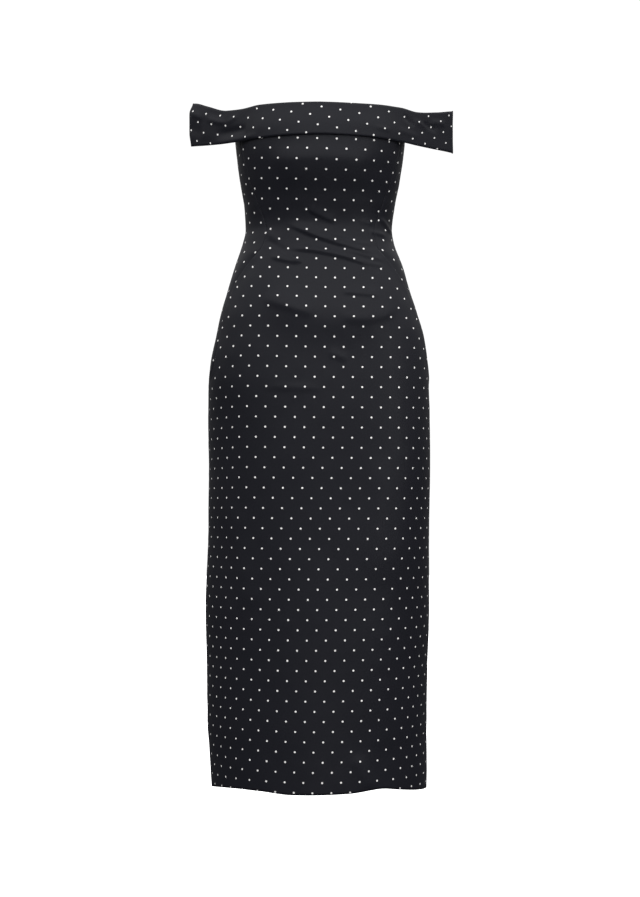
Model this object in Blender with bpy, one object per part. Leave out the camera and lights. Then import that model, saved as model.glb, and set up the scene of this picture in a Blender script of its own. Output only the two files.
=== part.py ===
"""Off-shoulder dress, filled out as when worn, modelled as the pieces that a maker cuts and sews.

Metres, +Z up. The front faces -Y. Left and right are as seen from the front, so left is at -X.
The origin is on the body's axis at the waist, where the wearer holds the dress up.
"""

import math
from collections import namedtuple
from functools import lru_cache

import bmesh
import bpy
import numpy as np

# Cloth
WALL = 0.0012
BAND_WALL = 0.0024
TAPE_WALL = 0.0010
SEAM_GAP = 0.0003
LAYER_GAP = 0.0004

# Heights of the body's edges
HEM_FRONT = -0.925
HEM_SIDE = -0.931
HEM_BACK = -0.927
NECK_FRONT = 0.1955
NECK_SIDE = 0.168
NECK_BACK = 0.2035

# Places around the body: 0 is the centre front, 1 the side, 2 the centre back, and left is negative.
SIDE_SEAM = 1.0
CENTRE_BACK = 2.0

# The body's outer outline at each height: half widths, depths before and behind the axis,
# and how square its corners are, where 2 is an ellipse.
Section = namedtuple("Section", "z left right front back round_left round_right round_back")
SECTIONS = [
    Section(-0.935, 0.1830, 0.1782, 0.1350, 0.1180, 2.00, 2.00, 2.2),
    Section(-0.865, 0.1870, 0.1783, 0.1350, 0.1180, 2.00, 2.00, 2.2),
    Section(-0.820, 0.1900, 0.1787, 0.1350, 0.1180, 2.00, 2.05, 2.2),
    Section(-0.725, 0.1903, 0.1796, 0.1350, 0.1190, 2.00, 2.15, 2.2),
    Section(-0.620, 0.1928, 0.1825, 0.1340, 0.1200, 2.00, 2.30, 2.3),
    Section(-0.500, 0.1885, 0.1818, 0.1310, 0.1210, 2.10, 2.80, 2.3),
    Section(-0.400, 0.1878, 0.1836, 0.1285, 0.1225, 2.20, 3.00, 2.4),
    Section(-0.320, 0.1888, 0.1842, 0.1265, 0.1240, 2.30, 3.10, 2.4),
    Section(-0.258, 0.1882, 0.1831, 0.1235, 0.1250, 2.50, 3.10, 2.4),
    Section(-0.218, 0.1845, 0.1811, 0.1205, 0.1235, 2.65, 3.10, 2.4),
    Section(-0.177, 0.1752, 0.1750, 0.1175, 0.1190, 2.80, 3.10, 2.4),
    Section(-0.137, 0.1667, 0.1632, 0.1140, 0.1100, 2.90, 3.10, 2.4),
    Section(-0.096, 0.1552, 0.1503, 0.1080, 0.0985, 2.80, 3.00, 2.4),
    Section(-0.056, 0.1434, 0.1390, 0.1000, 0.0870, 2.60, 2.80, 2.4),
    Section(-0.015, 0.1299, 0.1240, 0.0915, 0.0775, 2.40, 2.60, 2.4),
    Section(0.005, 0.1252, 0.1200, 0.0895, 0.0755, 2.35, 2.55, 2.4),
    Section(0.046, 0.1277, 0.1240, 0.0950, 0.0780, 2.30, 2.50, 2.4),
    Section(0.086, 0.1345, 0.1323, 0.1070, 0.0840, 2.25, 2.45, 2.4),
    Section(0.127, 0.1399, 0.1387, 0.1180, 0.0890, 2.20, 2.40, 2.4),
    Section(0.157, 0.1429, 0.1419, 0.1160, 0.0910, 2.20, 2.40, 2.4),
    Section(0.200, 0.1440, 0.1430, 0.1030, 0.0900, 2.20, 2.40, 2.4),
    Section(0.230, 0.1440, 0.1430, 0.0960, 0.0880, 2.20, 2.40, 2.4),
]

# The front panel's long edges: princess seams above the waist, pocket edges below it.
FrontEdge = namedtuple("FrontEdge", "z left right")
FRONT_EDGE = [
    FrontEdge(-0.262, 0.985, 0.985),
    FrontEdge(-0.250, 0.930, 0.930),
    FrontEdge(-0.235, 0.860, 0.862),
    FrontEdge(-0.200, 0.806, 0.806),
    FrontEdge(-0.165, 0.782, 0.776),
    FrontEdge(-0.130, 0.752, 0.745),
    FrontEdge(-0.095, 0.702, 0.702),
    FrontEdge(-0.070, 0.640, 0.640),
    FrontEdge(-0.048, 0.570, 0.565),
    FrontEdge(-0.030, 0.523, 0.520),
    FrontEdge(-0.012, 0.510, 0.520),
    FrontEdge(0.018, 0.560, 0.575),
    FrontEdge(0.051, 0.625, 0.630),
    FrontEdge(0.086, 0.690, 0.690),
    FrontEdge(0.135, 0.745, 0.755),
    FrontEdge(0.200, 0.760, 0.775),
]
POCKET_OVERLAP = 0.016
POCKET_FADE = 0.030

# Where the side front steps back behind the pocket's edge, and where it also runs on behind it.
Reach = namedtuple("Reach", "top top_full bottom_full bottom")
POCKET_STEP = Reach(-0.035, -0.052, -0.241, -0.262)
POCKET_BEHIND = Reach(-0.056, -0.085, -0.205, -0.230)

# Soft folds on the front: a ridge where raised is positive, a trough where it is negative.
Fold = namedtuple("Fold", "start_x start_z end_x end_z sag width raised")
FOLDS = [
    Fold(-0.066, 0.014, 0.098, -0.044, -0.006, 0.0080, -0.0030),
    Fold(-0.064, 0.026, 0.100, -0.031, -0.006, 0.0070, 0.0018),
    Fold(-0.034, 0.035, 0.028, 0.012, 0.000, 0.0070, 0.0012),
    Fold(-0.056, -0.042, 0.084, -0.062, 0.003, 0.0080, -0.0016),
    Fold(0.020, -0.112, 0.100, -0.112, 0.000, 0.0130, 0.0015),
    Fold(-0.105, -0.116, 0.115, -0.140, -0.014, 0.0220, 0.0022),
]
FOLD_TAPER = 0.25

# Heights of the rows of points that all body pieces share, from the hem up.
Rows = namedtuple("Rows", "top count")
ROWS = [
    Rows(-0.300, 13),
    Rows(-0.262, 2),
    Rows(-0.220, 4),
    Rows(-0.100, 5),
    Rows(0.045, 14),
    Rows(0.180, 6),
    Rows(0.184, 1),
    Rows(0.196, 2),
    Rows(0.200, 1),
]
FRONT_COLUMNS = 18
SIDE_FRONT_COLUMNS = 6
BACK_COLUMNS = 9
TAPE_COLUMNS = 2
EDGE_CROWDING = 0.55

# The band's edges from the centre (path 0) to the sleeve's tip (path 1).
BandEdge = namedtuple("BandEdge", "path left_top left_bottom right_top right_bottom back_top back_bottom")
BAND_EDGES = [
    BandEdge(0.00, 0.1986, 0.1420, 0.1986, 0.1420, 0.2070, 0.1520),
    BandEdge(0.30, 0.1996, 0.1424, 0.1984, 0.1422, 0.2075, 0.1530),
    BandEdge(0.48, 0.2006, 0.1434, 0.2004, 0.1428, 0.2085, 0.1550),
    BandEdge(0.62, 0.1990, 0.1444, 0.2014, 0.1437, 0.2090, 0.1575),
    BandEdge(0.72, 0.1984, 0.1453, 0.1976, 0.1425, 0.2100, 0.1600),
    BandEdge(0.85, 0.2076, 0.1478, 0.2016, 0.1402, 0.2110, 0.1585),
    BandEdge(0.95, 0.2173, 0.1495, 0.2070, 0.1386, 0.2140, 0.1540),
    BandEdge(1.00, 0.2213, 0.1503, 0.2094, 0.1380, 0.2154, 0.1442),
]
LEFT_TIP = 0.2209
RIGHT_TIP = 0.2250
TIP_RADIUS = 0.0030
TIP_ANGLE = math.radians(48)
TIP_ARC_SHARE = 0.03
FRONT_LEAVES = 0.60
BACK_LEAVES = 0.58
LEAVING_SHARE = 0.55
FRONT_STAND_OFF = 0.0042
BACK_STAND_OFF = 0.0010
BAND_STATIONS = 18
BAND_RIDGE = 0.0006
BAND_LEVELS = (0.0, 0.32, 0.62, 0.77, 1.0)

# Zip
ZIP_BOTTOM = -0.210
TAPE_WIDTH = 0.0120
SLIDER_Z = 0.1901
SLIDER_PLATE = (0.0080, 0.0020, 0.0120)
NECK_WIDTH = 0.0012
NECK_HEIGHT = 0.0064
NECK_CLEARANCE = 0.00035
BRIDGE_BAR = 0.0010
BRIDGE_WINDOW = (0.0022, 0.0044)
PLATE_CLEARANCE = 0.00025
PULL_WALL = 0.0010
PULL_HEAD = 0.0022
PULL_FOOT = 0.0032
PULL_LENGTH = 0.0200
PULL_WINDOW = (0.0019, 0.0048)
PULL_DROP = 0.0011
PULL_CLEAR = 0.0008
ARC_STEPS = 10


def monotone_curve(places, values, place):
    """A smooth curve through the values that never overshoots them."""
    places = np.asarray(places, float)
    values = np.asarray(values, float)
    steps = np.diff(places)
    slopes = np.diff(values) / steps
    tangents = np.empty_like(values)
    tangents[0] = slopes[0]
    tangents[-1] = slopes[-1]
    for i in range(1, len(values) - 1):
        if slopes[i - 1] * slopes[i] <= 0:
            tangents[i] = 0.0
            continue
        before = 2 * steps[i] + steps[i - 1]
        after = steps[i] + 2 * steps[i - 1]
        tangents[i] = (before + after) / (before / slopes[i - 1] + after / slopes[i])
    place = min(max(place, places[0]), places[-1])
    i = min(max(int(np.searchsorted(places, place)) - 1, 0), len(steps) - 1)
    t = (place - places[i]) / steps[i]
    rising = t * t * (3 - 2 * t)
    leaving = steps[i] * tangents[i] * t * (1 - t) ** 2
    arriving = steps[i] * tangents[i + 1] * t * t * (1 - t)
    return float(values[i] * (1 - rising) + values[i + 1] * rising + leaving - arriving)


def table_value(table, key, column, place):
    """A column of a table, read smoothly at a place along its key column."""
    keys = [getattr(row, key) for row in table]
    values = [getattr(row, column) for row in table]
    return monotone_curve(keys, values, place)


def smooth_step(start, end, value):
    """0 before start, 1 after end, and smooth between them, in either direction."""
    t = min(max((value - start) / (end - start), 0.0), 1.0)
    return t * t * (3 - 2 * t)


@lru_cache(maxsize=None)
def quarter_outline(z, side, front):
    """A quarter of the body's outline: x and y from the centre to the side, and the length walked."""
    width = table_value(SECTIONS, "z", side, z)
    depth = table_value(SECTIONS, "z", "front" if front else "back", z)
    power = table_value(SECTIONS, "z", "round_" + side if front else "round_back", z)
    turn = math.pi / 4 * (1 - np.cos(np.linspace(0, math.pi, 241)))
    x = width * np.sin(turn) ** (2 / power)
    y = depth * np.cos(turn).clip(0) ** (2 / power)
    walked = np.concatenate([[0], np.cumsum(np.hypot(np.diff(x), np.diff(y)))])
    return x, y, walked


def quarter_length(z, around):
    """The length of the quarter of the outline that a place around the body lies in."""
    side = "left" if around < 0 else "right"
    return quarter_outline(z, side, abs(around) <= SIDE_SEAM)[2][-1]


def outline_point(z, around):
    """The point of the body's outer outline at a height and a place around it."""
    side = "left" if around < 0 else "right"
    front = abs(around) <= SIDE_SEAM
    x, y, walked = quarter_outline(z, side, front)
    share = abs(around) if front else CENTRE_BACK - abs(around)
    length = share * walked[-1]
    px = math.copysign(np.interp(length, walked, x), around)
    py = np.interp(length, walked, y)
    return np.array([px, -py if front else py, z])


def outline_normal(z, around):
    """The direction that faces out of the body there."""
    step_z = 0.002
    step_around = 0.004
    up = outline_point(z + step_z, around) - outline_point(z - step_z, around)
    along = outline_point(z, around + step_around) - outline_point(z, around - step_around)
    normal = np.cross(along, up)
    return normal / np.linalg.norm(normal)


def back_normal(z):
    """The direction that faces out of the centre back."""
    step_z = 0.002
    rise = outline_point(z + step_z, CENTRE_BACK) - outline_point(z - step_z, CENTRE_BACK)
    return np.array([0.0, rise[2], -rise[1]]) / math.hypot(rise[1], rise[2])


def fold_height(point):
    """How far the folds lift the front's cloth at a point."""
    if point[1] > 0:
        return 0.0
    lift = 0.0
    for fold in FOLDS:
        run = np.array([fold.end_x - fold.start_x, fold.end_z - fold.start_z])
        length = np.linalg.norm(run)
        run = run / length
        offset = np.array([point[0] - fold.start_x, point[2] - fold.start_z])
        share = float(offset @ run) / length
        if not 0 < share < 1:
            continue
        across = float(offset[1] * run[0] - offset[0] * run[1])
        across -= fold.sag * 4 * share * (1 - share)
        ends = smooth_step(0, FOLD_TAPER, share) * smooth_step(1, 1 - FOLD_TAPER, share)
        lift += fold.raised * ends * math.exp(-((across / fold.width) ** 2))
    return lift


def cloth_point(z, around, inward):
    """A point of the body's cloth, moved in from its outer face."""
    point = outline_point(z, around)
    edge = CENTRE_BACK - 0.01
    normal = outline_normal(z, max(-edge, min(edge, around)))
    if abs(around) > edge:
        share = (CENTRE_BACK - abs(around)) / 0.01
        normal = share * normal + (1 - share) * back_normal(z)
        normal = normal / np.linalg.norm(normal)
    return point + normal * (fold_height(point) - inward)


def row_heights():
    """The nominal heights of the rows, from the hem to the neck."""
    heights = [HEM_FRONT]
    for rows in ROWS:
        start = heights[-1]
        for i in range(1, rows.count + 1):
            heights.append(start + (rows.top - start) * i / rows.count)
    return heights


def row_height(nominal, around):
    """A row's real height: the top rows follow the neck's edge, and the lowest rows the hem."""
    place = abs(around)
    if place <= SIDE_SEAM:
        neck = NECK_FRONT + (NECK_SIDE - NECK_FRONT) * smooth_step(0.62, 1.0, place)
        hem = HEM_FRONT + (HEM_SIDE - HEM_FRONT) * smooth_step(0.0, 1.0, place)
    else:
        neck = NECK_SIDE + (NECK_BACK - NECK_SIDE) * smooth_step(1.0, 1.38, place)
        hem = HEM_SIDE + (HEM_BACK - HEM_SIDE) * smooth_step(1.0, 2.0, place)
    top = ROWS[-1].top
    bodice_share = min(max((nominal - 0.045) / (top - 0.045), 0.0), 1.0)
    skirt_share = min(max((-0.300 - nominal) / (-0.300 - HEM_FRONT), 0.0), 1.0)
    return nominal + (neck - top) * bodice_share + (hem - HEM_FRONT) * skirt_share


def place_after(z, around, distance):
    """The place a distance further along the outline."""
    return around + distance / quarter_length(z, around)


def front_edge(side, z):
    """The place of the front panel's long edge: its seam, pocket edge or side seam."""
    if z < FRONT_EDGE[0].z:
        return SIDE_SEAM
    return table_value(FRONT_EDGE, "z", side, z)


def pocket_share(reach, z):
    """1 along the pocket's mouth and 0 past its ends."""
    return smooth_step(reach.top, reach.top_full, z) * smooth_step(reach.bottom, reach.bottom_full, z)


def side_front_edge(side, z):
    """The place of the side front's long edge, which runs behind the front at the pocket."""
    hidden = pocket_share(POCKET_BEHIND, z) * POCKET_OVERLAP
    edge = front_edge(side, z)
    return place_after(z, edge, SEAM_GAP / 2 - hidden)


def pocket_recess(side, z, around):
    """How far the side front drops behind the front's pocket edge."""
    edge = front_edge(side, z)
    room = (SIDE_SEAM - edge) * quarter_length(z, edge)
    past = (abs(around) - edge) * quarter_length(z, edge)
    fade = 1 - smooth_step(0.0, min(POCKET_FADE, 0.8 * room), past)
    return (WALL + LAYER_GAP) * pocket_share(POCKET_STEP, z) * fade


def column_share(column, columns):
    """How far across a panel a column of points lies: the columns crowd towards its edges."""
    share = column / columns
    return share - EDGE_CROWDING * math.sin(2 * math.pi * share) / (2 * math.pi)


def zip_half_gap(z):
    """Half the gap at the centre back, wider where the slider's neck passes through."""
    neck = NECK_WIDTH / 2 + NECK_CLEARANCE
    reach = abs(z - SLIDER_Z)
    return neck + (SEAM_GAP / 2 - neck) * smooth_step(0.0042, 0.0060, reach)


def make_material(name, colour, roughness, metallic):
    """A plain material."""
    material = bpy.data.materials.new(name)
    material.use_nodes = True
    shader = material.node_tree.nodes["Principled BSDF"]
    shader.inputs["Base Color"].default_value = (*colour, 1.0)
    shader.inputs["Roughness"].default_value = roughness
    shader.inputs["Metallic"].default_value = metallic
    return material


def add_object(name, mesh, material):
    """Puts a mesh in the scene as one smooth-shaded, named object."""
    mesh.materials.append(material)
    mesh.shade_smooth()
    mesh.set_sharp_from_angle(angle=math.radians(40))
    thing = bpy.data.objects.new(name, mesh)
    bpy.context.collection.objects.link(thing)
    return thing


def loop_solid(name, loops, material):
    """A closed body through matching loops of points, capped at both ends."""
    count = len(loops[0])
    points = [tuple(point) for loop in loops for point in loop]
    faces = []
    for i in range(len(loops) - 1):
        for j in range(count):
            following = (j + 1) % count
            low = i * count
            high = low + count
            faces.append((low + j, low + following, high + following, high + j))
    mesh = bpy.data.meshes.new(name)
    mesh.from_pydata(points, [], faces)
    shape = bmesh.new()
    shape.from_mesh(mesh)
    shape.verts.ensure_lookup_table()
    half = count // 2
    for start, flipped in ((0, True), ((len(loops) - 1) * count, False)):
        for j in range(half - 1):
            corners = [start + j, start + j + 1, start + count - 2 - j, start + count - 1 - j]
            if flipped:
                corners.reverse()
            shape.faces.new([shape.verts[k] for k in corners])
    bmesh.ops.recalc_face_normals(shape, faces=shape.faces)
    shape.to_mesh(mesh)
    shape.free()
    return add_object(name, mesh, material)


def body_panel(name, first, last, columns, material, inward=None, lowest=-1.0, wall=WALL):
    """A panel of the body between two edges, each a function of height, as a wall of even thickness."""
    loops = []
    for nominal in row_heights():
        z = row_height(nominal, (first(nominal) + last(nominal)) / 2)
        if z < lowest:
            continue
        outer = []
        inner = []
        for column in range(columns + 1):
            share = column_share(column, columns)
            around = first(z) + (last(z) - first(z)) * share
            height = row_height(nominal, around)
            around = first(height) + (last(height) - first(height)) * share
            extra = inward(height, around) if inward else 0.0
            outer.append(cloth_point(height, around, extra))
            inner.append(cloth_point(height, around, extra + wall))
        loops.append(outer + inner[::-1])
    return loop_solid(name, loops, material)


def make_front_panel(material):
    """The front, from neck to hem in one piece."""
    def left(z):
        return -place_after(z, front_edge("left", z), -SEAM_GAP / 2)

    def right(z):
        return place_after(z, front_edge("right", z), -SEAM_GAP / 2)

    return body_panel("front_panel", left, right, FRONT_COLUMNS, material)


def make_side_front(side, material):
    """The side of the front, from the underarm over the waist to behind the pocket's edge."""
    sign = -1 if side == "left" else 1

    def inner_edge(z):
        return sign * side_front_edge(side, z)

    def outer_edge(z):
        return sign * place_after(z, SIDE_SEAM, -SEAM_GAP / 2)

    def recess(z, around):
        return pocket_recess(side, z, around)

    lowest = FRONT_EDGE[0].z - 0.001
    return body_panel(
        "side_front_" + side, inner_edge, outer_edge, SIDE_FRONT_COLUMNS, material, recess, lowest
    )


def make_back(side, material):
    """Half of the back, from neck to hem."""
    sign = -1 if side == "left" else 1

    def side_edge(z):
        return sign * place_after(z, SIDE_SEAM + 1e-6, SEAM_GAP / 2)

    def centre_edge(z):
        return sign * place_after(z, CENTRE_BACK, -zip_half_gap(z))

    return body_panel("back_" + side, side_edge, centre_edge, BACK_COLUMNS, material)


def make_zip_tape(side, material):
    """The zip's tape, which lies on the inside of the back's centre edge."""
    sign = -1 if side == "left" else 1

    def far_edge(z):
        return sign * place_after(z, CENTRE_BACK, -TAPE_WIDTH)

    def centre_edge(z):
        return sign * place_after(z, CENTRE_BACK, -zip_half_gap(z))

    def behind_back(z, around):
        return WALL + LAYER_GAP

    return body_panel(
        "zip_tape_" + side, far_edge, centre_edge, TAPE_COLUMNS, material, behind_back, ZIP_BOTTOM, TAPE_WALL
    )


def bezier(points, t):
    """A point on a cubic curve."""
    a, b, c, d = points
    return a * (1 - t) ** 3 + 3 * b * t * (1 - t) ** 2 + 3 * c * t * t * (1 - t) + d * t ** 3


def band_edge_heights(side, front, path):
    """The band's top and bottom at a share of its path from the centre to the tip."""
    if front:
        top = table_value(BAND_EDGES, "path", side + "_top", path)
        bottom = table_value(BAND_EDGES, "path", side + "_bottom", path)
        return top, bottom
    top = table_value(BAND_EDGES, "path", "back_top", path)
    bottom = table_value(BAND_EDGES, "path", "back_bottom", path)
    near_tip = smooth_step(0.62, 1.0, path)
    tip = BAND_EDGES[-1]
    top += (getattr(tip, side + "_top") - tip.back_top) * near_tip
    bottom += (getattr(tip, side + "_bottom") - tip.back_bottom) * near_tip
    return top, bottom


def band_inner_point(side, front, path, share_up):
    """A point of the band's inner face: on the body near the centre, then out to the sleeve's tip."""
    sign = -1 if side == "left" else 1
    facing = -1 if front else 1
    tip_x = (LEFT_TIP if side == "left" else RIGHT_TIP) - BAND_WALL
    leaves = FRONT_LEAVES if front else BACK_LEAVES
    stand_off = FRONT_STAND_OFF if front else BACK_STAND_OFF
    top, bottom = band_edge_heights(side, front, path)
    z = bottom + (top - bottom) * share_up
    lift = LAYER_GAP + stand_off * (1 - share_up) ** 1.5

    def on_body(share):
        around = sign * leaves * share if front else sign * (CENTRE_BACK - leaves * share)
        return cloth_point(z, around, -lift)[:2]

    if path <= LEAVING_SHARE:
        x, y = on_body(path / LEAVING_SHARE)
        return np.array([x, y, z])
    start = on_body(1.0)
    heading = start - on_body(0.96)
    heading = heading / np.linalg.norm(heading)
    arc_centre = np.array([sign * (tip_x - TIP_RADIUS), 0.0])
    inward_x = sign * math.sin(math.pi / 2 - TIP_ANGLE)
    outward = np.array([inward_x, facing * math.cos(math.pi / 2 - TIP_ANGLE)])
    arc_start = arc_centre + TIP_RADIUS * outward
    arc_heading = np.array([sign * abs(outward[1]), -facing * abs(outward[0])])
    reach = np.linalg.norm(arc_start - start)
    if path <= 1 - TIP_ARC_SHARE:
        t = (path - LEAVING_SHARE) / (1 - TIP_ARC_SHARE - LEAVING_SHARE)
        curve = (start, start + heading * reach * 0.36, arc_start - arc_heading * reach * 0.30, arc_start)
        x, y = bezier(curve, t)
        return np.array([x, y, z])
    turn = (path - (1 - TIP_ARC_SHARE)) / TIP_ARC_SHARE * TIP_ANGLE
    angle = TIP_ANGLE - turn
    x = arc_centre[0] + sign * TIP_RADIUS * math.cos(angle)
    y = facing * TIP_RADIUS * math.sin(angle)
    return np.array([x, y, z])


def band_normal(side, front, path, share_up):
    """The level direction that faces away from the body there."""
    if path == 0:
        return np.array([0.0, -1.0 if front else 1.0, 0.0])
    if path == 1:
        return np.array([-1.0 if side == "left" else 1.0, 0.0, 0.0])
    step = 0.004
    before = band_inner_point(side, front, max(path - step, 0.0), share_up)
    after = band_inner_point(side, front, min(path + step, 1.0), share_up)
    along = (after - before)[:2]
    along = along / np.linalg.norm(along)
    turn = 1 if (side == "right") == front else -1
    return np.array([turn * along[1], -turn * along[0], 0.0])


def band_loop(side, front, path, shift=None):
    """One section through the band, from its inner lower edge over the top to its outer lower edge."""
    inner = []
    outer = []
    for level in BAND_LEVELS:
        point = band_inner_point(side, front, path, level)
        if shift is not None:
            point = point + shift
        inner.append(point)
        outer.append(point + BAND_WALL * band_normal(side, front, path, level))
    ridge = (inner[-1] + outer[-1]) / 2 + np.array([0.0, 0.0, BAND_RIDGE])
    foot = (inner[0] + outer[0]) / 2 - np.array([0.0, 0.0, BAND_RIDGE])
    return [foot] + inner + [ridge] + outer[::-1]


def station_paths():
    """Shares of the path where the band has a section, closer together at the tip."""
    paths = [i / BAND_STATIONS * (1 - TIP_ARC_SHARE) for i in range(BAND_STATIONS + 1)]
    for i in range(1, 4):
        paths.append(1 - TIP_ARC_SHARE + TIP_ARC_SHARE * i / 3)
    return paths


def make_band_front(material):
    """The band across the front, from tip to tip."""
    shift = np.array([0.0, -SEAM_GAP / 2, 0.0])
    loops = []
    for path in reversed(station_paths()):
        loops.append(band_loop("left", True, path, shift))
    for path in station_paths()[1:]:
        loops.append(band_loop("right", True, path, shift))
    return loop_solid("band_front", loops, material)


def make_band_back(side, material):
    """Half of the band behind, from the sleeve's tip to the centre back."""
    shift = np.array([0.0, SEAM_GAP / 2, 0.0])
    sign = -1 if side == "left" else 1
    loops = []
    for path in reversed(station_paths()[1:]):
        loops.append(band_loop(side, False, path, shift))
    end = band_loop(side, False, 0.0, shift)
    loops.append([point + np.array([sign * zip_half_gap(point[2]), 0.0, 0.0]) for point in end])
    return loop_solid("band_back_" + side, loops, material)


def make_box(name, size, centre):
    """A box of the given size about a centre."""
    mesh = bpy.data.meshes.new(name)
    shape = bmesh.new()
    bmesh.ops.create_cube(shape, size=1.0)
    bmesh.ops.scale(shape, vec=size, verts=shape.verts)
    bmesh.ops.translate(shape, vec=centre, verts=shape.verts)
    shape.to_mesh(mesh)
    shape.free()
    return mesh


def add_cutter(name, size, centre):
    """A hidden box that other pieces are joined to or cut with."""
    cutter = bpy.data.objects.new(name, make_box(name, size, centre))
    bpy.context.collection.objects.link(cutter)
    cutter.hide_render = True
    cutter.display_type = "WIRE"
    return cutter


def use_cutter(thing, cutter, operation):
    """Joins a hidden box to a piece or cuts it out."""
    change = thing.modifiers.new(cutter.name, "BOOLEAN")
    change.operation = operation
    change.solver = "EXACT"
    change.object = cutter


def band_outer_y(z):
    """How far back the band's outer face lies at the centre back, at a height."""
    top, bottom = band_edge_heights("left", False, 0.0)
    share_up = min(max((z - bottom) / (top - bottom), 0.0), 1.0)
    return band_inner_point("left", False, 0.0, share_up)[1] + SEAM_GAP / 2 + BAND_WALL


def pull_axis():
    """The axis that the pull turns on: its distance back and its height."""
    heights = [SLIDER_Z - PULL_LENGTH * i / 10 for i in range(11)]
    face = max(band_outer_y(z) for z in heights)
    return face + PULL_CLEAR + PULL_WALL / 2, SLIDER_Z + PULL_DROP


def make_zip_slider(material):
    """The slider: a plate inside the tapes, a neck through the gap and a bridge outside."""
    axis_y = pull_axis()[0]
    window_y, window_z = BRIDGE_WINDOW
    bridge_out = axis_y + window_y / 2 + BRIDGE_BAR
    tape_inside = outline_point(SLIDER_Z, CENTRE_BACK)[1] - 2 * LAYER_GAP - WALL - TAPE_WALL
    plate_y = SLIDER_PLATE[1]
    neck_start = tape_inside - 0.0010
    neck_size = (NECK_WIDTH, bridge_out - neck_start, NECK_HEIGHT)
    neck_centre = (0.0, (bridge_out + neck_start) / 2, SLIDER_Z)
    slider = add_object("zip_slider", make_box("zip_slider", neck_size, neck_centre), material)
    plate_centre = (0.0, tape_inside - PLATE_CLEARANCE - plate_y / 2, SLIDER_Z)
    plate = add_cutter("slider_plate", SLIDER_PLATE, plate_centre)
    window = add_cutter("slider_window", (0.01, window_y, window_z), (0.0, axis_y, SLIDER_Z))
    use_cutter(slider, plate, "UNION")
    use_cutter(slider, window, "DIFFERENCE")
    return slider


def pull_outline():
    """The pull's outline from its axis down: a narrow head and a broader round foot."""
    points = [(-PULL_HEAD, PULL_WALL / 2), (PULL_HEAD, PULL_WALL / 2)]
    foot_z = PULL_FOOT - PULL_LENGTH
    for i in range(ARC_STEPS + 1):
        angle = -math.pi * i / ARC_STEPS
        points.append((PULL_FOOT * math.cos(angle), foot_z + PULL_FOOT * math.sin(angle)))
    return points


def make_zip_pull(material):
    """The pull tab, which hangs from the slider's bridge and turns about a level axis."""
    axis_y, axis_z = pull_axis()
    mesh = bpy.data.meshes.new("zip_pull")
    shape = bmesh.new()
    corners = [shape.verts.new((x, -PULL_WALL / 2, z)) for x, z in pull_outline()]
    face = shape.faces.new(corners)
    grown = bmesh.ops.extrude_face_region(shape, geom=[face])
    moved = [item for item in grown["geom"] if isinstance(item, bmesh.types.BMVert)]
    bmesh.ops.translate(shape, vec=(0.0, PULL_WALL, 0.0), verts=moved)
    bmesh.ops.recalc_face_normals(shape, faces=shape.faces)
    shape.to_mesh(mesh)
    shape.free()
    pull = add_object("zip_pull", mesh, material)
    pull.location = (0.0, axis_y, axis_z)
    width, height = PULL_WINDOW
    window_z = axis_z - PULL_WALL / 2 - height / 2
    window = add_cutter("pull_window", (width, 0.01, height), (0.0, axis_y, window_z))
    use_cutter(pull, window, "DIFFERENCE")
    return pull


def clear_scene():
    """Removes what the file opened with."""
    for thing in list(bpy.data.objects):
        bpy.data.objects.remove(thing, do_unlink=True)


def main():
    """Builds the dress."""
    clear_scene()
    cloth = make_material("dress_cloth", (0.016, 0.016, 0.020), 0.55, 0.0)
    tape = make_material("zip_tape", (0.012, 0.012, 0.014), 0.8, 0.0)
    metal = make_material("zip_metal", (0.02, 0.02, 0.022), 0.35, 1.0)
    make_front_panel(cloth)
    make_band_front(cloth)
    for side in ("left", "right"):
        make_side_front(side, cloth)
        make_back(side, cloth)
        make_band_back(side, cloth)
        make_zip_tape(side, tape)
    make_zip_slider(metal)
    make_zip_pull(metal)


main()
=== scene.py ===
"""The looks of the off-shoulder dress: thin cloth shells on the frame's form, with folds, seams and dots.

Metres, +Z up. The front faces -Y, and left and right are as seen from the front, so left is at -X.
"""

import math
from collections import namedtuple

import bpy
import numpy as np
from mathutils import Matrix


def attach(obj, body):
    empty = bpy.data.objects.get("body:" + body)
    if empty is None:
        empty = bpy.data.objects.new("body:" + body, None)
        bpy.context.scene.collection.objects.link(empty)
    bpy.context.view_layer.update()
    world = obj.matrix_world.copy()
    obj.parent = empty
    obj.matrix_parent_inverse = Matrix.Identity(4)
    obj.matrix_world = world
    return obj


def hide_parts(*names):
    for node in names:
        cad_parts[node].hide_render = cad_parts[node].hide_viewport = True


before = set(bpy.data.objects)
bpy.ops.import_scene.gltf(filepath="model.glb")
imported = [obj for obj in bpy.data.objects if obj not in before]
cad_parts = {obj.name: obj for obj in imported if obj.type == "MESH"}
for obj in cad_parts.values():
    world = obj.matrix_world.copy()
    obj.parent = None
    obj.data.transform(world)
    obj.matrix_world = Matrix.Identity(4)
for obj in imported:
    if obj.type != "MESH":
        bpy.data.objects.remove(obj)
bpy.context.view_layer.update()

# Camera: level, in front of the dress, with the picture's crop as a small lens shift
PICTURE_HEIGHT = 897
CAMERA_DISTANCE = 3.0
CAMERA_HEIGHT = -0.473
FOCAL_PIXELS = 1776
HORIZON_PIXEL = 515

# Cloth
CLOTH_WALL = 0.0010
HEM_WALL = 0.0018
HEM_TURNING = 0.032
BAND_WALL = 0.0020
TAPE_WALL = 0.0008
HEM_STEP = 0.001
RIM_RISE = 0.15
SEAM_GAP = 0.0003
LAYER_GAP = 0.0004

# Heights of the body's edges
HEM_FRONT = -0.925
HEM_BACK = -0.927
NECK_FRONT = 0.1955
NECK_SIDE = 0.168
NECK_BACK = 0.2035

# The neck runs level to these places, in front and behind, and then dips to the side.
NECK_LEVEL_TO = (0.62, 1.38)

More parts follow.
